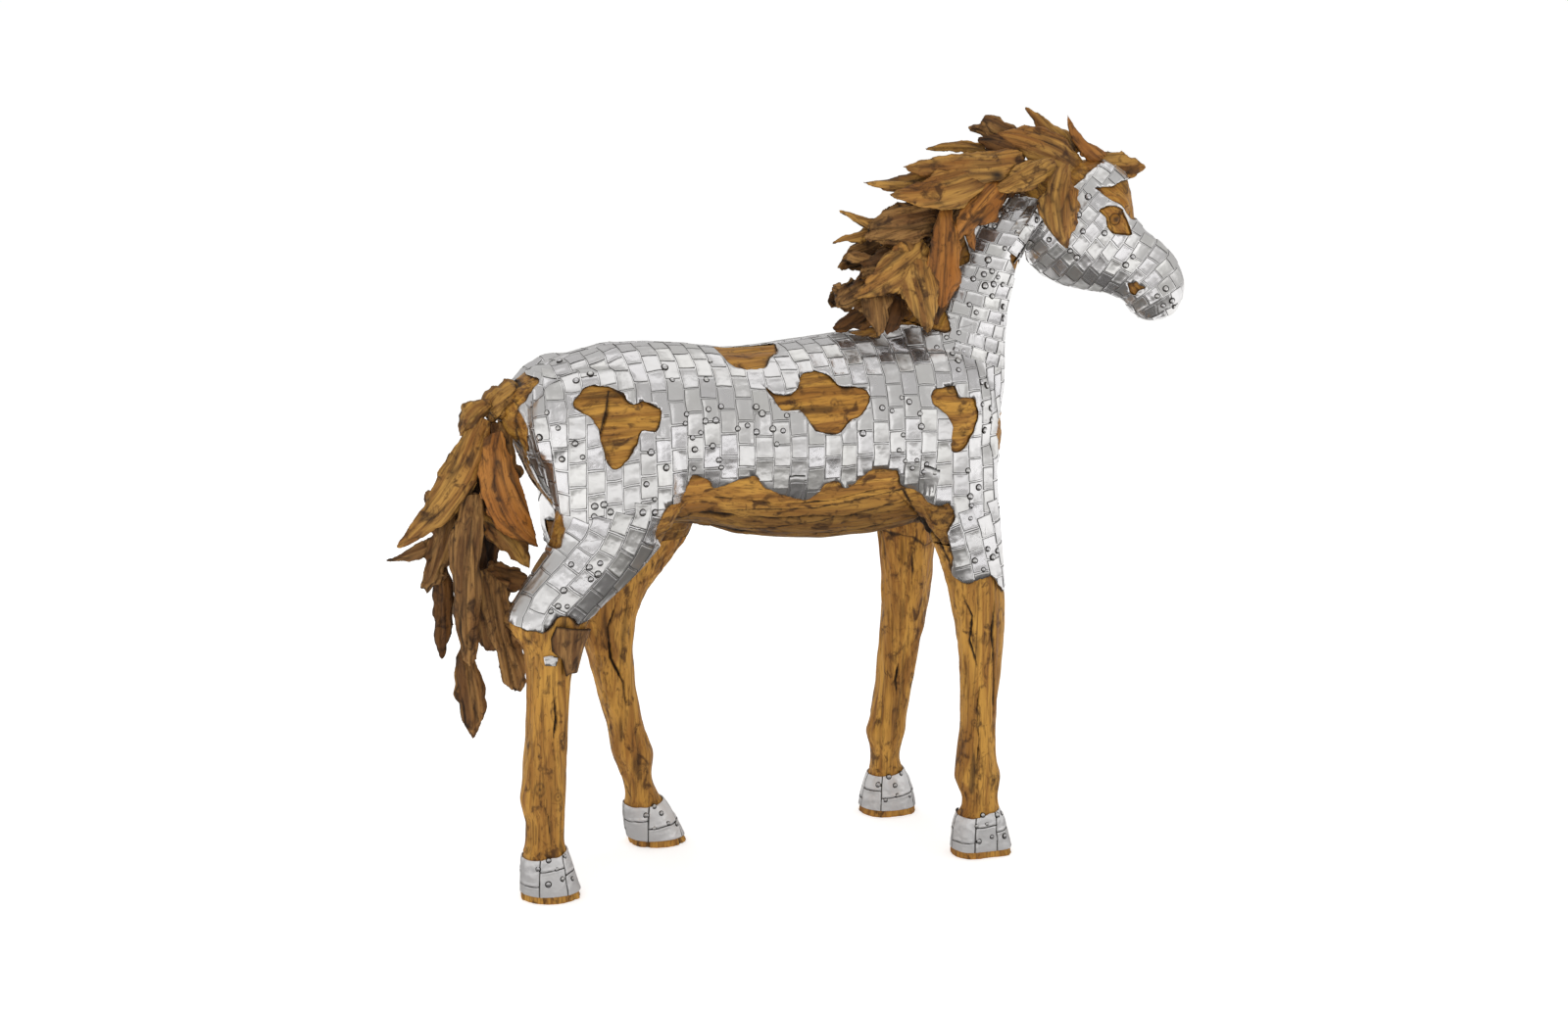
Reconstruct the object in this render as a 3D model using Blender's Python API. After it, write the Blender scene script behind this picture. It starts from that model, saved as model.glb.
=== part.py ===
"""A walking horse, carved and assembled in wood and clad in riveted sheet metal.

Metres, +X towards the nose, +Y to the horse's left, +Z up. Every outline is written as
shares of the height at the withers, so the one size WITHERS scales the whole horse.
"""

import math

import bmesh
import bpy
import numpy as np
from mathutils import Vector

# Driving sizes
WITHERS = 1.34
GAP = 0.0003
SHEET = 0.003
SHEET_CLEAR = 0.0005
SLAB = 0.012
SLAB_STEP = 0.0045
VOXEL = 0.012
SMOOTHING = 7
BODY_TRIANGLES = 1060
HEAD_TURN = math.radians(20)
HEAD_PIVOT = 0.522
LEG_SEAT = 0.605
SOLE_SHOWN = 0.018
SHARD_FLAT = 0.30
THROAT_CUT = -0.074
CLEFT_FRONT = -0.450
BREAST_BACK = 0.300
SPINE_KEPT = 0.012
MUZZLE_KEPT = 0.005
HOOF_ROOM = (0.050, 0.090)
SHARD_SIDE = 0.012
MIDRIFF = -0.050
NECK_SEAT = ((0.100, 1.060), (0.470, 0.900))
REACH = 2.0
HALF_GAP = GAP / WITHERS / 2

# Torso stations: x, back height, belly height, half width
TORSO = [
    (-0.568, 0.904, 0.850, 0.030),
    (-0.542, 0.928, 0.820, 0.066),
    (-0.500, 0.952, 0.735, 0.112),
    (-0.440, 0.973, 0.655, 0.150),
    (-0.363, 0.991, 0.645, 0.162),
    (-0.290, 0.991, 0.657, 0.158),
    (-0.212, 0.984, 0.650, 0.150),
    (-0.140, 0.972, 0.627, 0.158),
    (-0.069, 0.974, 0.616, 0.168),
    (0.029, 0.984, 0.608, 0.172),
    (0.127, 0.993, 0.609, 0.166),
    (0.216, 0.993, 0.620, 0.160),
    (0.300, 0.965, 0.640, 0.146),
    (0.356, 0.930, 0.665, 0.118),
    (0.388, 0.890, 0.720, 0.066),
]

# Neck stations: crest x and z, throat x and z, half width
NECK = [
    (0.090, 0.985, 0.330, 0.700, 0.120),
    (0.160, 1.000, 0.389, 0.790, 0.126),
    (0.205, 1.045, 0.407, 0.870, 0.112),
    (0.248, 1.092, 0.407, 0.950, 0.096),
    (0.290, 1.140, 0.411, 1.016, 0.084),
    (0.336, 1.190, 0.420, 1.058, 0.076),
    (0.382, 1.228, 0.432, 1.100, 0.070),
    (0.430, 1.258, 0.445, 1.142, 0.066),
    (0.490, 1.282, 0.480, 1.170, 0.060),
    (0.545, 1.290, 0.530, 1.190, 0.050),
]

# Head stations in the head's own plane: front x and z, jaw x and z, half width
HEAD = [
    (0.000, 1.288, -0.058, 1.205, 0.052),
    (0.050, 1.304, -0.060, 1.155, 0.066),
    (0.101, 1.299, -0.054, 1.110, 0.074),
    (0.136, 1.272, -0.026, 1.084, 0.079),
    (0.143, 1.238, 0.010, 1.066, 0.077),
    (0.149, 1.196, 0.052, 1.056, 0.067),
    (0.170, 1.168, 0.086, 1.052, 0.057),
    (0.200, 1.145, 0.110, 1.047, 0.050),
    (0.224, 1.121, 0.129, 1.036, 0.047),
    (0.239, 1.096, 0.143, 1.020, 0.046),
    (0.249, 1.070, 0.153, 1.007, 0.045),
    (0.244, 1.040, 0.165, 0.999, 0.041),
    (0.229, 1.014, 0.183, 0.996, 0.028),
]

# Leg stations: height, back x, front x, middle y, half width in y
LEGS = {
    "fore_right": [
        (0.780, 0.150, 0.362, -0.088, 0.072),
        (0.700, 0.176, 0.361, -0.100, 0.066),
        (0.622, 0.220, 0.362, -0.114, 0.056),
        (0.565, 0.244, 0.366, -0.121, 0.051),
        (0.516, 0.260, 0.369, -0.126, 0.048),
        (0.440, 0.273, 0.368, -0.131, 0.046),
        (0.345, 0.281, 0.359, -0.136, 0.041),
        (0.249, 0.281, 0.350, -0.141, 0.037),
        (0.191, 0.274, 0.351, -0.144, 0.039),
        (0.148, 0.269, 0.360, -0.146, 0.042),
        (0.112, 0.284, 0.351, -0.148, 0.035),
        (0.090, 0.284, 0.352, -0.150, 0.036),
        (0.074, 0.270, 0.362, -0.150, 0.044),
        (0.036, 0.265, 0.372, -0.151, 0.050),
        (0.000, 0.263, 0.381, -0.151, 0.054),
        (-0.030, 0.261, 0.388, -0.151, 0.057),
    ],
    "fore_left": [
        (0.780, 0.140, 0.356, 0.088, 0.072),
        (0.700, 0.160, 0.344, 0.100, 0.066),
        (0.622, 0.198, 0.330, 0.114, 0.056),
        (0.568, 0.212, 0.328, 0.121, 0.051),
        (0.487, 0.221, 0.326, 0.129, 0.048),
        (0.428, 0.222, 0.320, 0.133, 0.045),
        (0.368, 0.222, 0.308, 0.137, 0.042),
        (0.260, 0.217, 0.289, 0.144, 0.037),
        (0.200, 0.209, 0.282, 0.149, 0.039),
        (0.166, 0.200, 0.281, 0.151, 0.042),
        (0.119, 0.214, 0.268, 0.154, 0.034),
        (0.090, 0.212, 0.276, 0.156, 0.036),
        (0.070, 0.204, 0.290, 0.158, 0.044),
        (0.036, 0.195, 0.300, 0.159, 0.050),
        (0.000, 0.190, 0.306, 0.159, 0.054),
        (-0.030, 0.186, 0.310, 0.159, 0.057),
    ],
    "hind_right": [
        (0.900, -0.530, -0.250, -0.080, 0.060),
        (0.860, -0.528, -0.238, -0.090, 0.078),
        (0.785, -0.508, -0.240, -0.098, 0.080),
        (0.705, -0.492, -0.258, -0.104, 0.074),
        (0.639, -0.511, -0.300, -0.109, 0.066),
        (0.586, -0.548, -0.350, -0.113, 0.059),
        (0.540, -0.582, -0.410, -0.117, 0.053),
        (0.505, -0.588, -0.440, -0.119, 0.050),
        (0.466, -0.560, -0.458, -0.121, 0.047),
        (0.407, -0.559, -0.475, -0.123, 0.043),
        (0.307, -0.561, -0.483, -0.126, 0.040),
        (0.216, -0.570, -0.486, -0.128, 0.040),
        (0.186, -0.575, -0.487, -0.129, 0.043),
        (0.144, -0.562, -0.490, -0.130, 0.036),
        (0.104, -0.562, -0.494, -0.130, 0.037),
        (0.076, -0.572, -0.486, -0.130, 0.045),
        (0.036, -0.574, -0.474, -0.130, 0.051),
        (0.000, -0.575, -0.463, -0.130, 0.054),
        (-0.030, -0.575, -0.456, -0.130, 0.057),
    ],
    "hind_left": [
        (0.900, -0.530, -0.230, 0.080, 0.060),
        (0.860, -0.520, -0.206, 0.090, 0.078),
        (0.785, -0.498, -0.180, 0.098, 0.080),
        (0.705, -0.472, -0.166, 0.104, 0.074),
        (0.639, -0.468, -0.162, 0.108, 0.066),
        (0.592, -0.452, -0.186, 0.110, 0.059),
        (0.545, -0.434, -0.226, 0.112, 0.053),
        (0.500, -0.416, -0.262, 0.114, 0.048),
        (0.450, -0.398, -0.284, 0.116, 0.045),
        (0.390, -0.382, -0.289, 0.118, 0.043),
        (0.308, -0.360, -0.284, 0.120, 0.040),
        (0.240, -0.341, -0.268, 0.122, 0.040),
        (0.180, -0.333, -0.249, 0.122, 0.043),
        (0.130, -0.312, -0.254, 0.122, 0.035),
        (0.095, -0.306, -0.240, 0.122, 0.036),
        (0.072, -0.310, -0.222, 0.122, 0.044),
        (0.036, -0.307, -0.202, 0.121, 0.050),
        (0.000, -0.299, -0.186, 0.121, 0.054),
        (-0.030, -0.290, -0.176, 0.121, 0.057),
    ],
}

# Muscles added to both sides: centre x, y, z, then half length, half width, half height
MUSCLES = [
    (-0.412, 0.105, 0.860, 0.126, 0.064, 0.108),
    (-0.345, 0.105, 0.740, 0.095, 0.060, 0.085),
    (0.245, 0.100, 0.840, 0.110, 0.066, 0.130),
    (0.334, 0.052, 0.800, 0.056, 0.060, 0.090),
    (-0.020, 0.060, 0.800, 0.240, 0.118, 0.165),
]
# Head muscles in the head's own plane: jaw disc, brow, nostril
HEAD_MUSCLES = [
    (0.018, 0.036, 1.158, 0.062, 0.045, 0.056),
    (0.100, 0.052, 1.224, 0.038, 0.028, 0.022),
    (0.198, 0.026, 1.054, 0.042, 0.026, 0.030),
]

# Hem of the metal on the right, from the tail, down the thigh, along the belly, to the front
HEM_RIGHT = [
    (-0.581, 0.931), (-0.557, 0.921), (-0.535, 0.927), (-0.530, 0.940), (-0.507, 0.941),
    (-0.532, 0.908), (-0.553, 0.872), (-0.538, 0.810), (-0.531, 0.764), (-0.516, 0.740),
    (-0.489, 0.709), (-0.486, 0.684), (-0.498, 0.650), (-0.520, 0.648), (-0.534, 0.608),
    (-0.556, 0.588), (-0.600, 0.529), (-0.536, 0.503), (-0.505, 0.529), (-0.489, 0.529),
    (-0.467, 0.511), (-0.425, 0.528), (-0.364, 0.579), (-0.307, 0.635), (-0.325, 0.665),
    (-0.303, 0.716), (-0.268, 0.721), (-0.250, 0.767), (-0.214, 0.753), (-0.202, 0.739),
    (-0.138, 0.762), (-0.112, 0.736), (-0.042, 0.711), (-0.016, 0.722), (-0.001, 0.741),
    (0.024, 0.743), (0.042, 0.729), (0.091, 0.761), (0.139, 0.755), (0.150, 0.727),
    (0.187, 0.710), (0.214, 0.684), (0.244, 0.686), (0.254, 0.660), (0.242, 0.630),
    (0.255, 0.580), (0.257, 0.545), (0.281, 0.534), (0.325, 0.545), (0.355, 0.511),
    (0.380, 0.520),
]
# The same on the left, which the photo doesn't show
HEM_LEFT = [
    (-0.581, 0.931), (-0.557, 0.921), (-0.535, 0.927), (-0.530, 0.940), (-0.507, 0.941),
    (-0.538, 0.900), (-0.552, 0.870), (-0.532, 0.800), (-0.500, 0.700), (-0.492, 0.640),
    (-0.456, 0.548), (-0.418, 0.532), (-0.384, 0.545), (-0.352, 0.536), (-0.286, 0.600),
    (-0.262, 0.690), (-0.196, 0.736), (-0.150, 0.760), (-0.104, 0.728), (-0.012, 0.720),
    (0.034, 0.748), (0.118, 0.752), (0.152, 0.716), (0.190, 0.660), (0.204, 0.590),
    (0.262, 0.574), (0.292, 0.556), (0.322, 0.562), (0.350, 0.530), (0.380, 0.520),
]
# Lower edge of the bare crest under the mane
MANE_EDGE = [
    (0.058, 1.006), (0.081, 0.993), (0.144, 0.988), (0.166, 1.003), (0.201, 1.009),
    (0.240, 1.000), (0.267, 0.999), (0.263, 1.037), (0.268, 1.079), (0.276, 1.105),
    (0.305, 1.116), (0.319, 1.127), (0.322, 1.160), (0.330, 1.203), (0.363, 1.222),
    (0.388, 1.241), (0.440, 1.243),
]
# Edge of the metal behind the brow, in the head's own plane
POLL_EDGE = [
    (-0.110, 1.243), (-0.040, 1.236), (0.000, 1.219), (0.016, 1.233), (0.020, 1.250),
    (0.045, 1.271), (0.063, 1.288), (0.085, 1.301),
]
# The bare crest and poll, closed well above the horse
MANE_ZONE = MANE_EDGE + [(0.440, 1.500), (-0.100, 1.500), (0.040, 1.040)]
POLL_ZONE = POLL_EDGE + [(0.085, 1.450), (-0.160, 1.450), (-0.160, 1.243)]

# Openings where the wood shows through the metal
PATCHES_RIGHT = {
    "barrel": [
        (-0.104, 0.917), (-0.083, 0.879), (-0.046, 0.875), (-0.025, 0.841), (0.018, 0.830),
        (0.045, 0.852), (0.073, 0.863), (0.090, 0.892), (0.077, 0.910), (0.035, 0.915),
        (0.018, 0.932), (-0.007, 0.941), (-0.037, 0.935), (-0.050, 0.914), (-0.070, 0.903),
        (-0.088, 0.906),
    ],
    "hip": [
        (-0.469, 0.904), (-0.458, 0.928), (-0.437, 0.940), (-0.406, 0.937), (-0.381, 0.927),
        (-0.365, 0.905), (-0.340, 0.907), (-0.307, 0.888), (-0.319, 0.855), (-0.348, 0.857),
        (-0.359, 0.831), (-0.392, 0.794), (-0.413, 0.800), (-0.429, 0.863), (-0.441, 0.885),
    ],
    "shoulder": [
        (0.208, 0.887), (0.216, 0.901), (0.253, 0.906), (0.263, 0.884), (0.296, 0.880),
        (0.301, 0.843), (0.284, 0.800), (0.260, 0.781), (0.246, 0.789), (0.246, 0.837),
        (0.230, 0.858), (0.212, 0.872),
    ],
    "saddle": [
        (-0.167, 1.050), (-0.165, 0.975), (-0.156, 0.956), (-0.143, 0.948), (-0.097, 0.947),
        (-0.080, 0.959), (-0.060, 0.966), (-0.037, 0.985), (-0.035, 1.050),
    ],
    "throat": [
        (0.449, 1.162), (0.409, 1.152), (0.400, 1.138), (0.402, 1.120), (0.412, 1.104),
        (0.416, 1.086), (0.449, 1.086),
    ],
}
PATCHES_LEFT = {
    "left_barrel": [
        (-0.150, 0.880), (-0.118, 0.848), (-0.070, 0.842), (-0.044, 0.862), (0.000, 0.858),
        (0.016, 0.890), (-0.020, 0.918), (-0.072, 0.934), (-0.108, 0.914),
    ],
    "left_hip": [
        (-0.440, 0.850), (-0.408, 0.806), (-0.372, 0.820), (-0.356, 0.858), (-0.330, 0.884),
        (-0.362, 0.912), (-0.410, 0.904), (-0.446, 0.886),
    ],
    "left_shoulder": [
        (0.196, 0.852), (0.222, 0.806), (0.256, 0.800), (0.268, 0.842), (0.254, 0.888),
        (0.216, 0.894),
    ],
}

# Bare wood behind and in front, seen along the horse: y and z
CLEFT = [
    (-0.040, 0.560), (-0.050, 0.640), (-0.040, 0.700), (-0.034, 0.760), (-0.048, 0.800),
    (-0.070, 0.830), (-0.074, 0.866), (-0.044, 0.902), (0.010, 0.912), (0.044, 0.900),
    (0.070, 0.862), (0.064, 0.826), (0.046, 0.796), (0.036, 0.750), (0.042, 0.690),
    (0.050, 0.630), (0.040, 0.560),
]
BREAST = [
    (-0.070, 0.844), (-0.106, 0.824), (-0.118, 0.804), (-0.110, 0.785), (-0.094, 0.764),
    (-0.064, 0.752), (-0.018, 0.748), (0.030, 0.760), (0.062, 0.782), (0.068, 0.812),
    (0.044, 0.838), (0.006, 0.852), (-0.036, 0.842),
]

# Inner sides of the legs that stay bare: back x, front x, half width, top
INNER_ROOMS = [
    (-2.0, 0.330, 0.056, 0.720), (0.050, 0.326, 0.104, 0.690), (-0.470, -0.080, 0.090, 0.655),
]

# Openings in the metal of the head, in the head's own plane
EYE = [
    (0.074, 1.214), (0.093, 1.222), (0.113, 1.219), (0.122, 1.208), (0.134, 1.184),
    (0.140, 1.166), (0.118, 1.166), (0.101, 1.170), (0.091, 1.183), (0.087, 1.201),
]
BLAZE = [
    (0.240, 1.269), (0.126, 1.267), (0.099, 1.256), (0.068, 1.256), (0.077, 1.248),
    (0.094, 1.234), (0.115, 1.224), (0.128, 1.208), (0.150, 1.190), (0.240, 1.185),
]
NOSTRIL = [
    (0.134, 1.072), (0.142, 1.074), (0.151, 1.077), (0.156, 1.070), (0.168, 1.064),
    (0.155, 1.058), (0.149, 1.049), (0.140, 1.054),
]

# Slab over the right hock, and the tab that pins it
HOCK_SLAB = [
    (-0.512, 0.514), (-0.478, 0.506), (-0.452, 0.500), (-0.430, 0.492), (-0.438, 0.462),
    (-0.452, 0.440), (-0.462, 0.418), (-0.486, 0.424), (-0.494, 0.420), (-0.502, 0.452),
    (-0.520, 0.468), (-0.522, 0.492),
]
HOCK_TAB = [(-0.534, 0.458), (-0.520, 0.460), (-0.508, 0.456), (-0.512, 0.440), (-0.532, 0.442)]
HOCK_INNER = -0.135

# Top edge of each hoof sheet: back, wave and front height
HOOF_TOP = (0.080, 0.005, 0.092)

# Shards: prongs, each with its root, its tip, width, side bow and outward arch, then the outline
LEAF = (0.45, 0.95, 1.00, 0.62, 0.12)
SPIKE = (1.00, 0.92, 0.74, 0.46, 0.10)
BLOCK = (0.70, 1.00, 0.96, 0.80, 0.34)
DROP = (0.30, 0.72, 1.00, 0.86, 0.12)

MANE = {
    "mane_cheek": (DROP, 0.020, [
        ((0.506, -0.084, 1.302), (0.497, -0.112, 1.143), 0.066, 0.026, 0.016)]),
    "mane_hanging": (LEAF, 0.018, [
        ((0.376, -0.080, 1.264), (0.273, -0.098, 1.164), 0.060, 0.006, 0.014),
        ((0.314, -0.092, 1.200), (0.316, -0.100, 1.142), 0.022, 0.004, 0.002)]),
    "mane_drop": (DROP, 0.020, [
        ((0.262, -0.084, 1.234), (0.243, -0.112, 1.040), 0.062, 0.006, 0.018)]),
    "mane_fork": (LEAF, 0.022, [
        ((0.222, -0.090, 1.164), (0.074, -0.098, 1.068), 0.066, -0.004, 0.020),
        ((0.184, -0.092, 1.158), (0.212, -0.128, 1.000), 0.076, 0.004, 0.014)]),
    "mane_leaf": (LEAF, 0.018, [
        ((0.352, -0.072, 1.288), (0.150, -0.080, 1.253), 0.070, -0.016, 0.018)]),
    "mane_swept": (LEAF, 0.022, [
        ((0.428, -0.060, 1.308), (0.184, -0.062, 1.303), 0.066, -0.010, 0.016)]),
    "mane_long": (LEAF, 0.017, [
        ((0.488, -0.070, 1.304), (0.346, -0.086, 1.252), 0.046, -0.004, 0.014)]),
    "mane_crest": (LEAF, 0.022, [
        ((0.562, -0.030, 1.282), (0.372, -0.034, 1.358), 0.062, 0.006, 0.014)]),
    "mane_spike": (SPIKE, 0.020, [
        ((0.550, -0.004, 1.300), (0.459, 0.010, 1.402), 0.052, 0.002, 0.004),
        ((0.524, 0.004, 1.328), (0.495, 0.008, 1.381), 0.022, -0.002, 0.000)]),
    "mane_lump": (BLOCK, 0.022, [
        ((0.446, -0.012, 1.330), (0.358, -0.010, 1.382), 0.044, 0.000, 0.006),
        ((0.404, -0.006, 1.346), (0.336, -0.004, 1.369), 0.024, 0.000, 0.000)]),
    "mane_forelock": (LEAF, 0.022, [
        ((0.584, 0.006, 1.284), (0.692, -0.036, 1.286), 0.060, 0.004, 0.010)]),
    "mane_ear": (SPIKE, 0.018, [
        ((0.600, -0.026, 1.298), (0.533, -0.018, 1.388), 0.036, -0.012, 0.002)]),
    "mane_point": (LEAF, 0.016, [
        ((0.322, -0.048, 1.282), (0.110, -0.050, 1.275), 0.040, -0.009, 0.010)]),
    "mane_slab": (BLOCK, 0.018, [
        ((0.440, -0.040, 1.312), (0.340, -0.038, 1.350), 0.034, 0.002, 0.006)]),
    "mane_finger": (SPIKE, 0.014, [
        ((0.366, -0.026, 1.326), (0.240, -0.026, 1.332), 0.028, 0.002, 0.004)]),
    "mane_bark": (BLOCK, 0.024, [
        ((0.260, -0.066, 1.208), (0.108, -0.070, 1.178), 0.074, 0.004, 0.012)]),
    "mane_low_bark": (BLOCK, 0.022, [
        ((0.216, -0.068, 1.140), (0.100, -0.068, 1.112), 0.050, 0.002, 0.012),
        ((0.142, -0.066, 1.126), (0.073, -0.066, 1.144), 0.026, 0.000, 0.000)]),
    "mane_triangle": (SPIKE, 0.018, [
        ((0.118, -0.086, 1.076), (0.117, -0.116, 0.996), 0.060, 0.000, 0.008)]),
    "mane_chunk": (BLOCK, 0.024, [
        ((0.118, -0.062, 1.080), (0.054, -0.064, 1.050), 0.048, 0.002, 0.006),
        ((0.066, -0.062, 1.076), (0.046, -0.060, 1.086), 0.020, 0.002, 0.000)]),
    "mane_tuck": (LEAF, 0.018, [
        ((0.176, -0.070, 1.064), (0.138, -0.108, 0.998), 0.052, 0.002, 0.008)]),
    "mane_back": (LEAF, 0.020, [
        ((0.250, -0.064, 1.150), (0.238, -0.098, 1.010), 0.064, 0.000, 0.010)]),
    "mane_upper_tip": (SPIKE, 0.016, [
        ((0.196, -0.050, 1.186), (0.062, -0.052, 1.226), 0.034, -0.010, 0.006)]),
    "mane_mid_tip": (SPIKE, 0.014, [
        ((0.170, -0.036, 1.190), (0.054, -0.036, 1.162), 0.034, 0.002, 0.006)]),
    "mane_low_slab": (BLOCK, 0.016, [
        ((0.150, -0.034, 1.024), (0.058, -0.036, 1.004), 0.034, 0.002, 0.004)]),
    "mane_left_1": (DROP, 0.020, [
        ((0.500, 0.082, 1.296), (0.452, 0.100, 1.176), 0.062, -0.014, 0.014)]),
    "mane_left_2": (LEAF, 0.020, [
        ((0.440, 0.060, 1.306), (0.272, 0.078, 1.250), 0.070, 0.010, 0.016)]),
    "mane_left_3": (LEAF, 0.020, [
        ((0.384, 0.064, 1.250), (0.216, 0.080, 1.180), 0.070, 0.008, 0.016)]),
    "mane_left_4": (DROP, 0.020, [
        ((0.324, 0.074, 1.186), (0.246, 0.104, 1.036), 0.070, -0.006, 0.014)]),
    "mane_left_5": (LEAF, 0.022, [
        ((0.260, 0.070, 1.168), (0.108, 0.078, 1.104), 0.070, 0.004, 0.016)]),
    "mane_left_6": (LEAF, 0.020, [
        ((0.226, 0.092, 1.114), (0.172, 0.124, 0.998), 0.070, -0.004, 0.012)]),
    "mane_left_7": (BLOCK, 0.020, [
        ((0.160, 0.066, 1.066), (0.086, 0.070, 1.034), 0.050, 0.004, 0.010)]),
}

TAIL = {
    "tail_dock": (BLOCK, 0.062, [
        ((-0.526, -0.006, 0.918), (-0.590, -0.008, 0.862), 0.062, 0.008, 0.000)]),
    "tail_lobe": (LEAF, 0.026, [
        ((-0.590, -0.036, 0.900), (-0.650, -0.034, 0.842), 0.044, 0.008, 0.004)]),
    "tail_long": (LEAF, 0.024, [
        ((-0.606, -0.040, 0.876), (-0.771, -0.046, 0.648), 0.064, -0.024, 0.006)]),
    "tail_leaf": (LEAF, 0.022, [
        ((-0.598, -0.066, 0.850), (-0.512, -0.060, 0.634), 0.074, 0.032, 0.010)]),
    "tail_log": (BLOCK, 0.034, [
        ((-0.634, -0.058, 0.742), (-0.643, -0.050, 0.420), 0.054, 0.012, 0.006)]),
    "tail_bottom": (DROP, 0.032, [
        ((-0.646, -0.018, 0.458), (-0.632, -0.018, 0.277), 0.052, 0.000, 0.000)]),
    "tail_prongs": (SPIKE, 0.030, [
        ((-0.662, -0.010, 0.730), (-0.712, -0.010, 0.554), 0.074, -0.004, 0.004),
        ((-0.680, -0.010, 0.654), (-0.786, -0.008, 0.619), 0.034, -0.008, 0.000),
        ((-0.676, -0.010, 0.596), (-0.724, -0.010, 0.562), 0.024, 0.000, 0.000)]),
    "tail_strip": (BLOCK, 0.024, [
        ((-0.572, -0.014, 0.862), (-0.550, -0.014, 0.668), 0.044, 0.000, 0.000),
        ((-0.562, -0.014, 0.772), (-0.526, -0.014, 0.762), 0.028, 0.000, 0.000)]),
    "tail_low_leaf": (LEAF, 0.022, [
        ((-0.606, -0.024, 0.704), (-0.522, -0.024, 0.588), 0.062, -0.012, 0.006)]),
    "tail_chunk": (BLOCK, 0.026, [
        ((-0.612, -0.022, 0.594), (-0.588, -0.026, 0.440), 0.082, 0.002, 0.004),
        ((-0.582, -0.024, 0.500), (-0.545, -0.030, 0.358), 0.050, 0.000, 0.000),
        ((-0.622, -0.022, 0.516), (-0.500, -0.024, 0.472), 0.062, 0.000, 0.000),
        ((-0.604, -0.022, 0.590), (-0.526, -0.020, 0.560), 0.052, 0.000, 0.000)]),
    "tail_small": (BLOCK, 0.020, [
        ((-0.680, 0.004, 0.600), (-0.680, 0.010, 0.424), 0.034, -0.004, 0.000)]),
    "tail_backing": (LEAF, 0.034, [
        ((-0.600, 0.020, 0.860), (-0.616, 0.020, 0.470), 0.092, 0.008, 0.000)]),
}

# Colours of the raw materials
WOOD_TONES = [(0.33, 0.15, 0.045), (0.42, 0.20, 0.065), (0.27, 0.12, 0.036), (0.38, 0.15, 0.050)]
METAL_TONE = (0.78, 0.77, 0.80)

# The size in metres of a share
def at(x, y, z):
    return Vector((x, y, z)) * WITHERS


# Turns a point of the head's own plane into the horse's
def in_head(h, y, z):
    turned_x = HEAD_PIVOT + h * math.cos(HEAD_TURN) + y * math.sin(HEAD_TURN)
    turned_y = y * math.cos(HEAD_TURN) - h * math.sin(HEAD_TURN)
    return at(turned_x, turned_y, z)


def clear_scene():
    for obj in list(bpy.data.objects):
        bpy.data.objects.remove(obj)


# Makes an object of a closed mesh, turned so that its faces look outwards
def mesh_object(name, bm):
    bmesh.ops.recalc_face_normals(bm, faces=bm.faces)
    if bm.calc_volume(signed=True) < 0:
        bmesh.ops.reverse_faces(bm, faces=bm.faces)
    mesh = bpy.data.meshes.new(name)
    bm.to_mesh(mesh)
    bm.free()
    obj = bpy.data.objects.new(name, mesh)
    bpy.context.scene.collection.objects.link(obj)
    return obj


def discard(*objects):
    for obj in objects:
        bpy.data.objects.remove(obj)


# A closed body through rings of points, one ring after the other
def loft(bm, rings):
    made = [[bm.verts.new(point) for point in ring] for ring in rings]
    for first, second in zip(made, made[1:]):
        for i in range(len(first)):
            j = (i + 1) % len(first)
            bm.faces.new((first[i], first[j], second[j], second[i]))
    bm.faces.new(list(reversed(made[0])))
    bm.faces.new(made[-1])


# A rounded ring about a centre, spanned by two half axes
def rounded_ring(centre, across, up, points=20, fullness=2.3):
    ring = []
    for i in range(points):
        angle = 2 * math.pi * i / points
        cosine = math.cos(angle)
        sine = math.sin(angle)
        a = math.copysign(abs(cosine) ** (2 / fullness), cosine)
        b = math.copysign(abs(sine) ** (2 / fullness), sine)
        ring.append(centre + across * a + up * b)
    return ring


def ball(bm, place, centre, half, rings=8):
    x, y, z = centre
    stations = []
    for i in range(1, rings):
        angle = math.pi * i / rings
        shrink = math.sin(angle)
        middle = place(x, y, z + half[2] * math.cos(angle))
        along = place(x + half[0] * shrink, y, z + half[2] * math.cos(angle)) - middle
        side = place(x, y + half[1] * shrink, z + half[2] * math.cos(angle)) - middle
        stations.append(rounded_ring(middle, along, side, points=16, fullness=2))
    loft(bm, stations)


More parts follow.
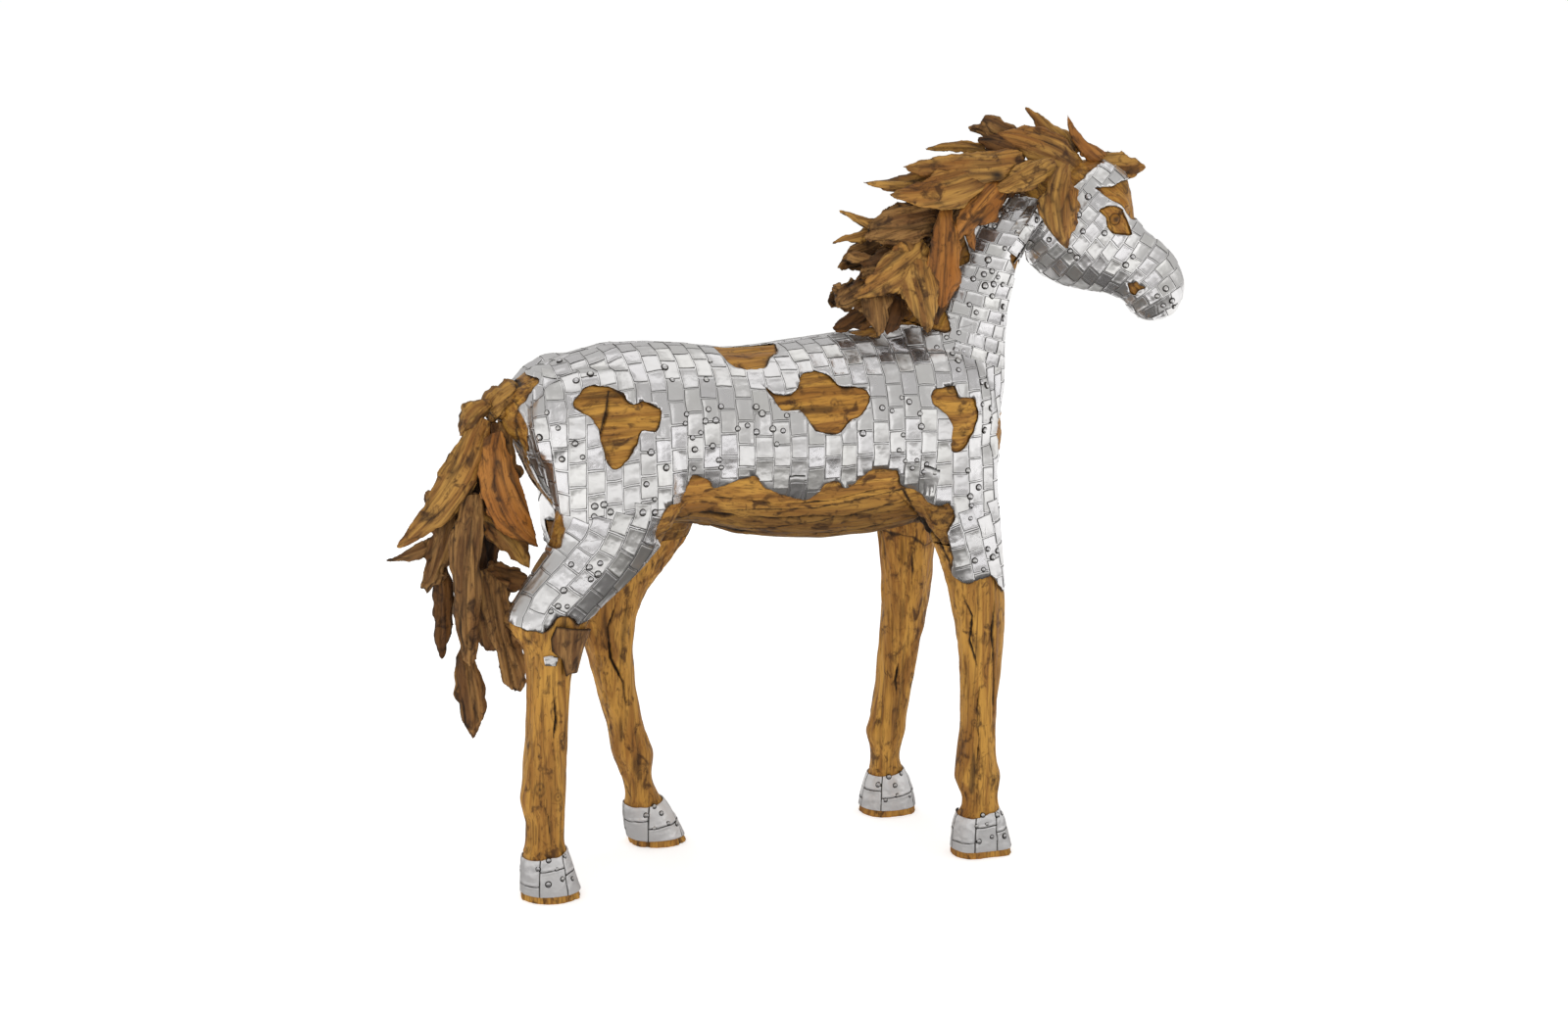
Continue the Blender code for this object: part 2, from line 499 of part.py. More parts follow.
def body_rings(bm):
    rings = []
    for x, top, bottom, half in TORSO:
        centre = at(x, 0, (top + bottom) / 2)
        rings.append(rounded_ring(centre, at(0, half, 0), at(0, 0, (top - bottom) / 2)))
    loft(bm, rings)
    rings = []
    for crest_x, crest_z, throat_x, throat_z, half in NECK:
        crest = at(crest_x, 0, crest_z)
        throat = at(throat_x, 0, throat_z)
        middle = (crest + throat) / 2
        rings.append(rounded_ring(middle, at(0, half, 0), (crest - throat) / 2, fullness=2.1))
    loft(bm, rings)
    rings = []
    for front_h, front_z, jaw_h, jaw_z, half in HEAD:
        front = in_head(front_h, 0, front_z)
        jaw = in_head(jaw_h, 0, jaw_z)
        across = in_head(0, half, 0) - in_head(0, 0, 0)
        rings.append(rounded_ring((front + jaw) / 2, across, (front - jaw) / 2))
    loft(bm, rings)
    for stations in LEGS.values():
        rings = []
        for z, back, front, middle, half in stations:
            centre = at((back + front) / 2, middle, z)
            along = at((back - front) / 2, 0, 0)
            rings.append(rounded_ring(centre, at(0, half, 0), along, fullness=2.2))
        loft(bm, rings)
    for side in (-1, 1):
        for x, y, z, *half in MUSCLES:
            ball(bm, at, (x, side * y, z), half)
        for x, y, z, *half in HEAD_MUSCLES:
            ball(bm, in_head, (x, side * y, z), half)


# The finished mesh of an object with its modifiers applied, as a new plain object
def baked(obj, name):
    graph = bpy.context.evaluated_depsgraph_get()
    graph.update()
    mesh = bpy.data.meshes.new_from_object(obj.evaluated_get(graph))
    made = bpy.data.objects.new(name, mesh)
    bpy.context.scene.collection.objects.link(made)
    return made


def body_blank():
    bm = bmesh.new()
    body_rings(bm)
    raw = mesh_object("raw", bm)
    remesh = raw.modifiers.new("one_body", "REMESH")
    remesh.mode = "VOXEL"
    remesh.voxel_size = VOXEL
    smooth = raw.modifiers.new("soften", "SMOOTH")
    smooth.factor = 0.5
    smooth.iterations = SMOOTHING
    fine = baked(raw, "fine")
    triangles = sum(len(p.vertices) - 2 for p in fine.data.polygons)
    fewer = fine.modifiers.new("fewer", "DECIMATE")
    fewer.ratio = BODY_TRIANGLES / triangles
    fewer.use_collapse_triangulate = True
    relax = fine.modifiers.new("relax", "SMOOTH")
    relax.factor = 0.35
    relax.iterations = 1
    blank = baked(fine, "blank")
    discard(raw, fine)
    return blank


# Cuts through the body's thin double skin come out empty with the exact solver, so they use this one
def boolean(first, second, operation, solver="MANIFOLD"):
    modifier = first.modifiers.new("boolean", "BOOLEAN")
    modifier.solver = solver
    modifier.operation = operation
    modifier.object = second
    made = baked(first, "cut")
    first.modifiers.remove(modifier)
    return made


# The same Boolean, with both objects used up
def replace_boolean(first, second, operation, solver="MANIFOLD"):
    made = boolean(first, second, operation, solver)
    discard(first, second)
    return made


def prism(outline, place, y_from, y_to):
    bm = bmesh.new()
    near = [bm.verts.new(place(x, y_from, z)) for x, z in outline]
    far = [bm.verts.new(place(x, y_to, z)) for x, z in outline]
    for i in range(len(outline)):
        j = (i + 1) % len(outline)
        bm.faces.new((near[i], near[j], far[j], far[i]))
    caps = [bm.faces.new(near), bm.faces.new(list(reversed(far)))]
    bmesh.ops.triangulate(bm, faces=caps, ngon_method="EAR_CLIP")
    return mesh_object("prism", bm)


def box(low, high):
    x0, y0, z0 = low
    x1, y1, z1 = high
    return prism([(x0, z0), (x1, z0), (x1, z1), (x0, z1)], at, y0, y1)


# A copy of the body grown outwards along its normals by one distance for each vertex
def grown(blank, distances, name):
    made = blank.copy()
    made.data = blank.data.copy()
    made.name = name
    bpy.context.scene.collection.objects.link(made)
    for vertex, distance in zip(made.data.vertices, distances):
        vertex.co = vertex.co + blank.data.vertices[vertex.index].normal * distance
    return made


def even(blank, distance):
    return grown(blank, [distance] * len(blank.data.vertices), "grown")


def shell_between(blank, inner_distance, outer_distance):
    return replace_boolean(even(blank, outer_distance), even(blank, inner_distance), "DIFFERENCE")


# Keeps the largest closed island and drops crumbs that a cut leaves behind
def largest_island(obj):
    bm = bmesh.new()
    bm.from_mesh(obj.data)
    bmesh.ops.triangulate(bm, faces=bm.faces)
    left = set(bm.faces)
    islands = []
    while left:
        seed = left.pop()
        island = [seed]
        queue = [seed]
        while queue:
            face = queue.pop()
            for edge in face.edges:
                for other in edge.link_faces:
                    if other in left:
                        left.discard(other)
                        island.append(other)
                        queue.append(other)
        islands.append(island)
    islands.sort(key=lambda faces: (sum(face.calc_area() for face in faces)), reverse=True)
    doomed = [face for island in islands[1:] for face in island]
    if doomed:
        bmesh.ops.delete(bm, geom=doomed, context="FACES")
    loose = [vertex for vertex in bm.verts if not vertex.link_faces]
    bmesh.ops.delete(bm, geom=loose, context="VERTS")
    bm.to_mesh(obj.data)
    bm.free()


def inside(outline, x, z):
    count = 0
    for (x0, z0), (x1, z1) in zip(outline, outline[1:] + outline[:1]):
        if (z0 > z) != (z1 > z) and x < x0 + (z - z0) * (x1 - x0) / (z1 - z0):
            count += 1
    return count % 2 == 1


# Flat-sided shards: six points a ring, on a spine bent sideways and outwards
def prong(profile, thick, root, tip, width, bow, arch):
    start = at(*root)
    end = at(*tip)
    along = (end - start).normalized()
    facing = Vector((0, -1 if root[1] <= SHARD_SIDE else 1, 0.25))
    facing = (facing - along * facing.dot(along)).normalized()
    side = along.cross(facing)
    rings = []
    last = len(profile) - 1
    for i, share in enumerate(profile):
        t = i / last
        swing = 4 * t * (1 - t)
        middle = start.lerp(end, t) + (side * bow + facing * arch) * (swing * WITHERS)
        half = side * (width * share * WITHERS / 2)
        deep = facing * (thick * (0.35 + 0.65 * share) * WITHERS / 2)
        flat = half * SHARD_FLAT
        rings.append([
            middle - half, middle - flat - deep, middle + flat - deep,
            middle + half, middle + flat + deep, middle - flat + deep,
        ])
    bm = bmesh.new()
    loft(bm, rings)
    return mesh_object("prong", bm)


def shard(profile, thick, prongs):
    made = prong(profile, thick, *prongs[0])
    for extra in prongs[1:]:
        made = replace_boolean(made, prong(profile, thick * 0.85, *extra), "UNION", "EXACT")
    return made


def bounds_of(obj):
    points = np.array([vertex.co for vertex in obj.data.vertices])
    return points.min(axis=0), points.max(axis=0)


def near_each_other(first, second, reach):
    low_a, high_a = first
    low_b, high_b = second
    return bool((low_a - reach < high_b).all() and (low_b - reach < high_a).all())


# Cuts each shard clear of the body and of the shards that lie over it
def fit_shards(table, envelope, taken):
    made = []
    for name, (profile, thick, prongs) in table.items():
        piece = shard(profile, thick, prongs)
        cut = boolean(piece, envelope, "DIFFERENCE")
        discard(piece)
        piece = cut
        for other in taken + made:
            if not near_each_other(bounds_of(piece), bounds_of(other), GAP):
                continue
            fatter = grown(other, [GAP] * len(other.data.vertices), "fatter")
            left = boolean(piece, fatter, "DIFFERENCE")
            discard(fatter)
            if not left.data.vertices:
                discard(left)
                continue
            discard(piece)
            piece = left
            largest_island(piece)
        largest_island(piece)
        piece.name = name
        made.append(piece)
    return made


def paint(obj, tone, metallic, roughness):
    material = bpy.data.materials.new(obj.name)
    material.use_nodes = True
    shader = material.node_tree.nodes["Principled BSDF"]
    shader.inputs["Base Color"].default_value = (*tone, 1)
    shader.inputs["Metallic"].default_value = metallic
    shader.inputs["Roughness"].default_value = roughness
    obj.data.materials.clear()
    obj.data.materials.append(material)
    for polygon in obj.data.polygons:
        polygon.use_smooth = True


# The part of the horse below a hem, closed far outside the body
def below_hem(hem):
    return hem + [(0.60, 0.50), (0.60, -0.10), (-0.80, -0.10), (-0.80, 0.931)]


# The head and the neck meet on a plane across the throat
def ahead_of_throat():
    start = THROAT_CUT + HALF_GAP
    outline = [(start, 0), (REACH, 0), (REACH, REACH), (start, REACH)]
    return prism(outline, in_head, -REACH, REACH)


def behind_throat():
    start = THROAT_CUT - HALF_GAP
    outline = [(start, -REACH), (start, REACH), (-REACH, REACH), (-REACH, -REACH)]
    return prism(outline, in_head, -REACH, REACH)


# The neck and the torso meet on a slope at the shoulder, and each leg on a level cut below the belly
def wood_pieces(blank):
    floor_cut = box((-REACH, -REACH, -REACH), (REACH, REACH, 0))
    standing = boolean(blank, floor_cut, "DIFFERENCE")
    discard(floor_cut)
    pieces = {}
    spans = {"hind": (-REACH, MIDRIFF), "fore": (MIDRIFF, REACH)}
    for leg in LEGS:
        span = spans[leg.split("_")[0]]
        sides = (-REACH, 0) if leg.endswith("right") else (0, REACH)
        room = box((span[0], sides[0], -REACH), (span[1], sides[1], LEG_SEAT - HALF_GAP))
        pieces["leg_" + leg] = boolean(standing, room, "INTERSECT")
        discard(room)
    upper = box((-REACH, -REACH, LEG_SEAT + HALF_GAP), (REACH, REACH, REACH))
    top = replace_boolean(standing, upper, "INTERSECT")
    head_room = ahead_of_throat()
    rest_room = behind_throat()
    pieces["head"] = boolean(top, head_room, "INTERSECT")
    rest = boolean(top, rest_room, "INTERSECT")
    discard(top, head_room, rest_room)
    high, low = NECK_SEAT
    step = HALF_GAP * 2.2
    over = [high, low, (REACH, REACH), (high[0], REACH)]
    under = [(low[0], low[1] - step), (high[0], high[1] - step)]
    under += [(-REACH, high[1]), (-REACH, 0), (low[0], 0)]
    neck_room = prism(over, at, -REACH, REACH)
    torso_room = prism(under, at, -REACH, REACH)
    pieces["neck"] = boolean(rest, neck_room, "INTERSECT")
    pieces["torso"] = boolean(rest, torso_room, "INTERSECT")
    discard(rest, neck_room, torso_room)
    return pieces


def take_away(piece, *cutters):
    for cutter in cutters:
        piece = replace_boolean(piece, cutter, "DIFFERENCE")
    return piece


# A plane seen along the horse, from behind or in front
def facing_us(y, x, z):
    return at(x, y, z)


def sheet_pieces(blank):
    shell = shell_between(blank, SHEET_CLEAR, SHEET_CLEAR + SHEET)
    behind = behind_throat()
    ahead = ahead_of_throat()
    body = boolean(shell, behind, "INTERSECT")
    head = boolean(shell, ahead, "INTERSECT")
    discard(behind, ahead)
    body = take_away(
        body,
        prism(below_hem(HEM_RIGHT), at, -REACH, HALF_GAP),
        prism(below_hem(HEM_LEFT), at, -HALF_GAP, REACH),
        prism(CLEFT, facing_us, -REACH, CLEFT_FRONT),
        prism(BREAST, facing_us, BREAST_BACK, REACH),
        prism(MANE_ZONE, at, -REACH, REACH),
    )
    for back, front, half, top in INNER_ROOMS:
        body = take_away(body, box((back, -half, -REACH), (front, half, top)))
    for outline in PATCHES_RIGHT.values():
        body = take_away(body, prism(outline, at, -REACH, SPINE_KEPT))
    for outline in PATCHES_LEFT.values():
        body = take_away(body, prism(outline, at, SPINE_KEPT, REACH))
    head = take_away(
        head,
        prism(POLL_ZONE, in_head, -REACH, REACH),
        prism(EYE, in_head, -REACH, -SPINE_KEPT),
        prism(EYE, in_head, SPINE_KEPT, REACH),
        prism(BLAZE, in_head, -REACH, REACH),
        prism(NOSTRIL, in_head, -REACH, -MUZZLE_KEPT),
        prism(NOSTRIL, in_head, MUZZLE_KEPT, REACH),
    )
    pieces = {"sheet_body": body, "sheet_head": head}
    back_top, wave, front_top = HOOF_TOP
    for leg, stations in LEGS.items():
        sole = stations[-2]
        back = sole[1] - HOOF_ROOM[0]
        front = sole[2] + HOOF_ROOM[0]
        outline = [(back, SOLE_SHOWN / WITHERS), (front, SOLE_SHOWN / WITHERS)]
        steps = 6
        for i in range(steps + 1):
            t = i / steps
            height = front_top + (back_top - front_top) * t + wave * math.sin(2.2 * math.pi * t)
            outline.append((front + (back - front) * t, height))
        y = sole[3]
        room = prism(outline, at, y - HOOF_ROOM[1], y + HOOF_ROOM[1])
        pieces["sheet_hoof_" + leg] = boolean(shell, room, "INTERSECT")
        discard(room)
    discard(shell)
    return pieces


def overlays(blank):
    pieces = {}
    for name, outline, inner, outer in (
        ("hock_slab", HOCK_SLAB, SLAB_STEP, SLAB_STEP + SLAB),
        ("hock_tab", HOCK_TAB, SHEET_CLEAR, SHEET_CLEAR + SHEET),
    ):
        shell = shell_between(blank, inner, outer)
        room = prism(outline, at, -REACH, HOCK_INNER)
        pieces[name] = replace_boolean(shell, room, "INTERSECT")
    return pieces


# The room that shards keep clear of: thin over bare wood, thicker over the metal
def body_envelope(blank):
    bare = []
    for vertex in blank.data.vertices:
        x, _, z = vertex.co / WITHERS
        h = (x - HEAD_PIVOT) / math.cos(HEAD_TURN)
        bare.append(inside(MANE_ZONE, x, z) or inside(POLL_ZONE, h, z))
    safe = list(bare)
    for edge in blank.data.edges:
        a, b = edge.vertices
        safe[a] = safe[a] and bare[b]
        safe[b] = safe[b] and bare[a]
    over_sheet = SHEET_CLEAR + SHEET + GAP
    return grown(blank, [GAP if s else over_sheet for s in safe], "envelope")


def build():
    clear_scene()
    blank = body_blank()
    wood = wood_pieces(blank)
    metal = sheet_pieces(blank)
    extra = overlays(blank)
    pieces = {**wood, **metal, **extra}
    for name, piece in pieces.items():
        largest_island(piece)
        piece.name = name
    envelope = body_envelope(blank)
    shards = fit_shards(MANE, envelope, [])
    shards += fit_shards(TAIL, envelope, [extra["hock_slab"], extra["hock_tab"]])
    discard(envelope, blank)
    for name, piece in metal.items():
        paint(piece, METAL_TONE, 1.0, 0.3)
    paint(extra["hock_tab"], METAL_TONE, 1.0, 0.3)
    wooden = list(wood.values()) + [extra["hock_slab"]] + shards
    for number, piece in enumerate(wooden):
        paint(piece, WOOD_TONES[number % len(WOOD_TONES)], 0.0, 0.55)
    everything = list(pieces.values()) + shards
    low = np.min([bounds_of(piece)[0] for piece in everything], axis=0)
    high = np.max([bounds_of(piece)[1] for piece in everything], axis=0)
    shift = Vector((-(low[0] + high[0]) / 2, -(low[1] + high[1]) / 2, -low[2]))
    for piece in everything:
        for vertex in piece.data.vertices:
            vertex.co += shift
        piece.data.update()


build()
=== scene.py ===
# %% [markdown]
# A walking horse, built in wood and clad in sheet metal.
#
# The real sculpture is a pony-size horse put together from teak roots and timbers. Small pieces of
# bright sheet are hammered over its body like bricks and nailed down. Ragged openings leave the wood
# in view, and carved shards make the mane and the tail. The CAD model gives the size and the place
# of every part; this script makes each part again with its carving, plates, rivets and finish.

# %% Load the CAD model
import math

import bmesh
import bpy
import numpy as np
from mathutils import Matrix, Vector, noise
from mathutils.bvhtree import BVHTree


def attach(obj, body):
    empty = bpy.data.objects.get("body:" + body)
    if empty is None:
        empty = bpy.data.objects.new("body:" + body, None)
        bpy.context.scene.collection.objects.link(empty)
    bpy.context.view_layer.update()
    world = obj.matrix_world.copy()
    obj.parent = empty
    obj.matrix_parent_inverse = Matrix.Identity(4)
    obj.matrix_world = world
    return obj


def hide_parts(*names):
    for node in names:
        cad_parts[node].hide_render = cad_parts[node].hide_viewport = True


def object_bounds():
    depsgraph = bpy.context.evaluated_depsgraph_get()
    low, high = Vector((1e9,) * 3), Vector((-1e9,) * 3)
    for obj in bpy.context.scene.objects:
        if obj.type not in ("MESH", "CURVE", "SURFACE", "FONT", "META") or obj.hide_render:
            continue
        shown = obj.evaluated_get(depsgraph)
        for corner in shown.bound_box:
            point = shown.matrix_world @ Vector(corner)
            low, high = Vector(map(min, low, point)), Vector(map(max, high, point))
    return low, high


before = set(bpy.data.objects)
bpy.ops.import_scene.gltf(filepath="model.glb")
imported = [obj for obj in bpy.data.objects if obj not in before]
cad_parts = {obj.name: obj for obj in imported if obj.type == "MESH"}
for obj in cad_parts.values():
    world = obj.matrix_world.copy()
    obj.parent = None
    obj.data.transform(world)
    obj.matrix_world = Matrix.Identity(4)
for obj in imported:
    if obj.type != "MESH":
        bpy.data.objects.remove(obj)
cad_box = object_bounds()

print("CAD nodes:", len(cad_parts))

# %% [markdown]
# Outlines are written as shares of the height at the withers, as in the CAD source. The head is
# turned a little to the horse's right, so it is drawn in a plane of its own. Two functions turn
# shares into metres: one for the horse, one for its head.

# %% Sizes and the two drawing planes
WITHERS = 1.34
SHIFT = Vector((0.0205, -0.0085, 0.0))
HEAD_TURN = math.radians(20)
HEAD_PIVOT = 0.522
LEG_SEAT = 0.605
THROAT_CUT = -0.074
NECK_SEAT = ((0.100, 1.060), (0.470, 0.900))
REACH = 2.0
rng = np.random.default_rng(7)
# Without a seed, noise_vector starts from the clock
noise.seed_set(3)


# Turns the whole numbers of a table, which are thousandths, into shares
def milli(table):
    if isinstance(table, dict):
        return {name: milli(rows) for name, rows in table.items()}
    if isinstance(table, (list, tuple)):
        return type(table)(milli(row) for row in table)
    return table / 1000 if isinstance(table, int) else table


def unit(values):
    return np.clip(values, 0, 1)


# A bell curve: 1 at zero, and nearly 0 two widths away
def bell(values, width=1.0):
    return np.exp(-(values / width) ** 2)


def at(x, y, z):
    return Vector((x, y, z)) * WITHERS + SHIFT


def in_head(h, y, z):
    turned_x = HEAD_PIVOT + h * math.cos(HEAD_TURN) + y * math.sin(HEAD_TURN)
    turned_y = y * math.cos(HEAD_TURN) - h * math.sin(HEAD_TURN)
    return at(turned_x, turned_y, z)


# Points of the world back in shares of the horse's or the head's plane
def to_shares(points):
    return (np.asarray(points) - np.array(SHIFT)) / WITHERS


def to_head(points):
    shares = to_shares(points)
    x = shares[:, 0] - HEAD_PIVOT
    y = shares[:, 1]
    turned = np.empty_like(shares)
    turned[:, 0] = x * math.cos(HEAD_TURN) - y * math.sin(HEAD_TURN)
    turned[:, 1] = x * math.sin(HEAD_TURN) + y * math.cos(HEAD_TURN)
    turned[:, 2] = shares[:, 2]
    return turned

# %% [markdown]
# Every finish here is a formula of position, not a picture. Written as bare nodes such formulas are
# hard to read, so one small class wraps a socket and lets Python's own signs add the Math nodes:
# mask * 0.5 + 0.2 makes two of them. Colours are mixed with Mix nodes. The geometry trees that lay
# plates and rivets are written with the same class.

# %% One class for formulas
class Formula:
    def __init__(self, tree, socket):
        self.tree = tree
        self.socket = socket

    # Adds any node: its settings first, then the values or links of its sockets
    def node(self, kind, settings=None, inputs=None, out=0):
        made = self.tree.nodes.new(kind)
        for key, value in (settings or {}).items():
            setattr(made, key, value)
        for key, value in (inputs or {}).items():
            if isinstance(value, Formula):
                self.tree.links.new(value.socket, made.inputs[key])
            else:
                made.inputs[key].default_value = value
        return Formula(self.tree, made.outputs[out])

    def math(self, operation, *values):
        return self.node("ShaderNodeMath", {"operation": operation}, dict(enumerate(values)))

    def __add__(self, other):
        return self.math("ADD", self, other)

    def __sub__(self, other):
        return self.math("SUBTRACT", self, other)

    def __mul__(self, other):
        return self.math("MULTIPLY", self, other)

    __radd__ = __add__

    def vector(self, operation, first, second):
        return self.node("ShaderNodeVectorMath", {"operation": operation}, {0: first, 1: second})

    def clip(self, low, high):
        inputs = {"Value": self, "From Min": low, "From Max": high}
        return self.node("ShaderNodeMapRange", {"interpolation_type": "SMOOTHSTEP"}, inputs)

    def stretched(self, x, y, z):
        return self.vector("MULTIPLY", self, (x, y, z))

    def noise(self, scale, detail=3.0, rough=0.5, warp=0.0):
        inputs = {"Vector": self, "Scale": scale, "Detail": detail, "Roughness": rough, "Distortion": warp}
        return self.node("ShaderNodeTexNoise", None, inputs)

    # self is the mask: 0 keeps the first colour, 1 gives the second
    def between(self, first, second):
        first, second = (c if isinstance(c, Formula) else (*c, 1) for c in (first, second))
        return self.node("ShaderNodeMix", {"data_type": "RGBA"}, {0: self, 6: first, 7: second}, out=2)


def new_material(name):
    material = bpy.data.materials.new(name)
    material.use_nodes = True
    shader = material.node_tree.nodes["Principled BSDF"]
    return material, shader, Formula(material.node_tree, None)


def attribute(start, name, out):
    return start.node("ShaderNodeAttribute", {"attribute_name": name}, None, out)


def feed(node, name, value):
    node.id_data.links.new(value.socket, node.inputs[name])


def bump(start, height, depth):
    return start.node("ShaderNodeBump", None, {"Height": height, "Distance": depth, "Strength": 1.0})


print("formulas ready")

# %% [markdown]
# The photo is a studio shot from the horse's right and a little from behind, with the camera above
# head height looking slightly down. A pale floor and large soft lights suit polished metal, because
# the plates show nothing but what they mirror.

# %% Camera, floor and soft lights
CAMERA_AT = Vector((-2.3281, -6.7778, 2.3379))
LOOKS = Vector((0.32366, 0.94617, 0.0))
PITCH = math.radians(11.3702)


def add_object(name, data):
    obj = bpy.data.objects.new(name, data)
    bpy.context.scene.collection.objects.link(obj)
    return obj


camera_data = bpy.data.cameras.new("camera")
camera_data.lens = 66.6
camera_data.sensor_width = 36.0
camera = add_object("camera", camera_data)
camera.location = CAMERA_AT
aim = LOOKS * math.cos(PITCH) - Vector((0, 0, math.sin(PITCH)))
camera.rotation_euler = aim.to_track_quat("-Z", "Y").to_euler()
bpy.context.scene.camera = camera


def soft_light(name, place, target, size, power, mirrored=True):
    lamp = bpy.data.lights.new(name, "AREA")
    lamp.shape = "RECTANGLE"
    lamp.size, lamp.size_y = size
    lamp.energy = power
    obj = add_object(name, lamp)
    obj.location = place
    direction = Vector(target) - Vector(place)
    obj.rotation_euler = direction.to_track_quat("-Z", "Y").to_euler()
    obj.visible_glossy = mirrored
    return obj


# The wood needs more light than the metal may mirror, so two of the lights stay out of mirrors
soft_light("key_light", (-3.0, -5.0, 3.0), (0, 0, 0.9), (4.0, 1.1), 13)
soft_light("fill_light", (-3.0, -5.0, 3.6), (0, 0, 0.9), (5.0, 3.0), 56, False)
soft_light("side_light", (4.5, -3.5, 2.2), (0.2, 0, 1.0), (2.2, 3.4), 12)
soft_light("top_light", (0.0, 0.5, 5.0), (0, 0, 1.0), (6.0, 4.0), 38)
soft_light("back_light", (-1.0, 5.5, 3.0), (0, 0, 1.0), (4.0, 2.6), 45, False)

world = bpy.data.worlds.new("studio")
world.use_nodes = True
sky = Formula(world.node_tree, None)
light = sky.node("ShaderNodeBackground", None, {"Color": (0.565, 0.56, 0.55, 1)})
backdrop = sky.node("ShaderNodeBackground", None, {"Color": (1, 1, 1, 1)})
seen = sky.node("ShaderNodeLightPath", None, None, "Is Camera Ray")
either = sky.node("ShaderNodeMixShader", None, {0: seen, 1: light, 2: backdrop})
feed(world.node_tree.nodes["World Output"], "Surface", either)
bpy.context.scene.world = world
bpy.context.scene.view_settings.view_transform = "Standard"

bpy.ops.mesh.primitive_plane_add(size=900, location=(0, 0, -0.0005))
floor = bpy.context.active_object
floor.name = "studio_floor"
floor_paint, shader, _ = new_material("pale_floor")
paint = shader.inputs
paint["Base Color"].default_value = (0.955, 0.955, 0.955, 1)
paint["Roughness"].default_value = 0.85
paint["Emission Color"].default_value = (1, 1, 1, 1)
paint["Emission Strength"].default_value = 0.48
floor.data.materials.append(floor_paint)


# A dark card that only mirrors see, as photographers use to give polished metal its darks
def dark_card(name, centre, size, turn, shade):
    bpy.ops.mesh.primitive_plane_add(size=1, location=centre)
    card = bpy.context.active_object
    card.name = name
    card.scale = (size[0], size[1], 1)
    card.rotation_euler = turn
    paint, _, start = new_material(name)
    glow = start.node("ShaderNodeEmission", None, {"Color": (shade, shade * 0.97, shade * 0.93, 1)})
    feed(paint.node_tree.nodes["Material Output"], "Surface", glow)
    card.data.materials.append(paint)
    for ray_kind in ("camera", "diffuse", "shadow", "transmission"):
        setattr(card, "visible_" + ray_kind, False)


dark_card("card_under", (0.0, -0.40, 0.002), (3.4, 2.0), (0, 0, 0), 0.15)
dark_card("card_low", (0.0, -2.0, 0.003), (3.8, 1.2), (0, 0, 0), 0.32)
dark_card("card_wall", (0.6, -9.0, 2.1), (9.0, 0.7), (math.radians(90), 0, 0), 0.48)
dark_card("card_left", (0.0, 1.5, 0.002), (3.4, 1.4), (0, 0, 0), 0.20)
print("camera at", [round(v, 3) for v in camera.location])

# %% [markdown]
# Sheet that is cut by hand and beaten over wood has no straight edges. Each outline is therefore
# drawn as a smooth curve through its points, with small bites along it.

# %% Wear the outlines
def worn(line, closed=True, step=0.0045, bite=0.0024):
    points = [Vector((x, z, 0)) for x, z in line]
    count = len(points)
    made = []
    for i in range(count if closed else count - 1):
        here = points[i]
        after = points[(i + 1) % count]
        before = points[i - 1] if closed or i > 0 else here
        beyond = points[(i + 2) % count] if closed or i + 2 < count else after
        steps = max(1, round((after - here).length / step))
        for k in range(steps):
            t = k / steps
            curve = here * 2 + (after - before) * t
            curve += (before * 2 - here * 5 + after * 4 - beyond) * (t * t)
            curve += (here * 3 - before - after * 3 + beyond) * (t * t * t)
            place = here.lerp(after, t).lerp(curve / 2, 0.8)
            nudge = noise.noise_vector((place.x * 70, place.y * 70, 0.5))
            fine = noise.noise_vector((place.x * 190, place.y * 190, 4.5))
            made.append((place.x + bite * (nudge.x + 0.5 * fine.x),
                         place.y + bite * (nudge.y + 0.5 * fine.y)))
    return made if closed else made + [line[-1]]


print("edges can be worn")

# %% [markdown]
# The outlines of the CAD source follow: stations of the torso, neck, head and legs, the hems of the
# metal, the openings in it, and the shards. Whole numbers are thousandths of the withers' height.

# %% Outlines of the horse
HALF_GAP = 0.0003 / WITHERS / 2
SPINE_KEPT = 0.012
MUZZLE_KEPT = 0.005
HOOF_ROOM = (0.050, 0.090)
SHARD_SIDE = 0.012
MIDRIFF = -0.050
SOLE_SHOWN = 0.018
# Torso stations: x, back height, belly height, half width
TORSO = milli([
    (-568, 904, 850, 30), (-542, 928, 820, 66), (-500, 952, 735, 112), (-440, 973, 655, 150),
    (-363, 991, 645, 162), (-290, 991, 657, 158), (-212, 984, 650, 150), (-140, 972, 627, 158),
    (-69, 974, 616, 168), (29, 984, 608, 172), (127, 993, 609, 166), (216, 993, 620, 160),
    (300, 965, 640, 146), (356, 930, 665, 118), (388, 890, 720, 66),
])

# Neck stations: crest x and z, throat x and z, half width
NECK = milli([
    (90, 985, 330, 700, 120), (160, 1000, 389, 790, 126), (205, 1045, 407, 870, 112),
    (248, 1092, 407, 950, 96), (290, 1140, 411, 1016, 84), (336, 1190, 420, 1058, 76),
    (382, 1228, 432, 1100, 70), (430, 1258, 445, 1142, 66), (490, 1282, 480, 1170, 60),
    (545, 1290, 530, 1190, 50),
])

# Head stations in the head's own plane: front x and z, jaw x and z, half width
HEAD = milli([
    (0, 1288, -58, 1205, 52), (50, 1304, -60, 1155, 66), (101, 1299, -54, 1110, 74),
    (136, 1272, -26, 1084, 79), (143, 1238, 10, 1066, 77), (149, 1196, 52, 1056, 67),
    (170, 1168, 86, 1052, 57), (200, 1145, 110, 1047, 50), (224, 1121, 129, 1036, 47),
    (239, 1096, 143, 1020, 46), (249, 1070, 153, 1007, 45), (244, 1040, 165, 999, 41),
    (229, 1014, 183, 996, 28),
])

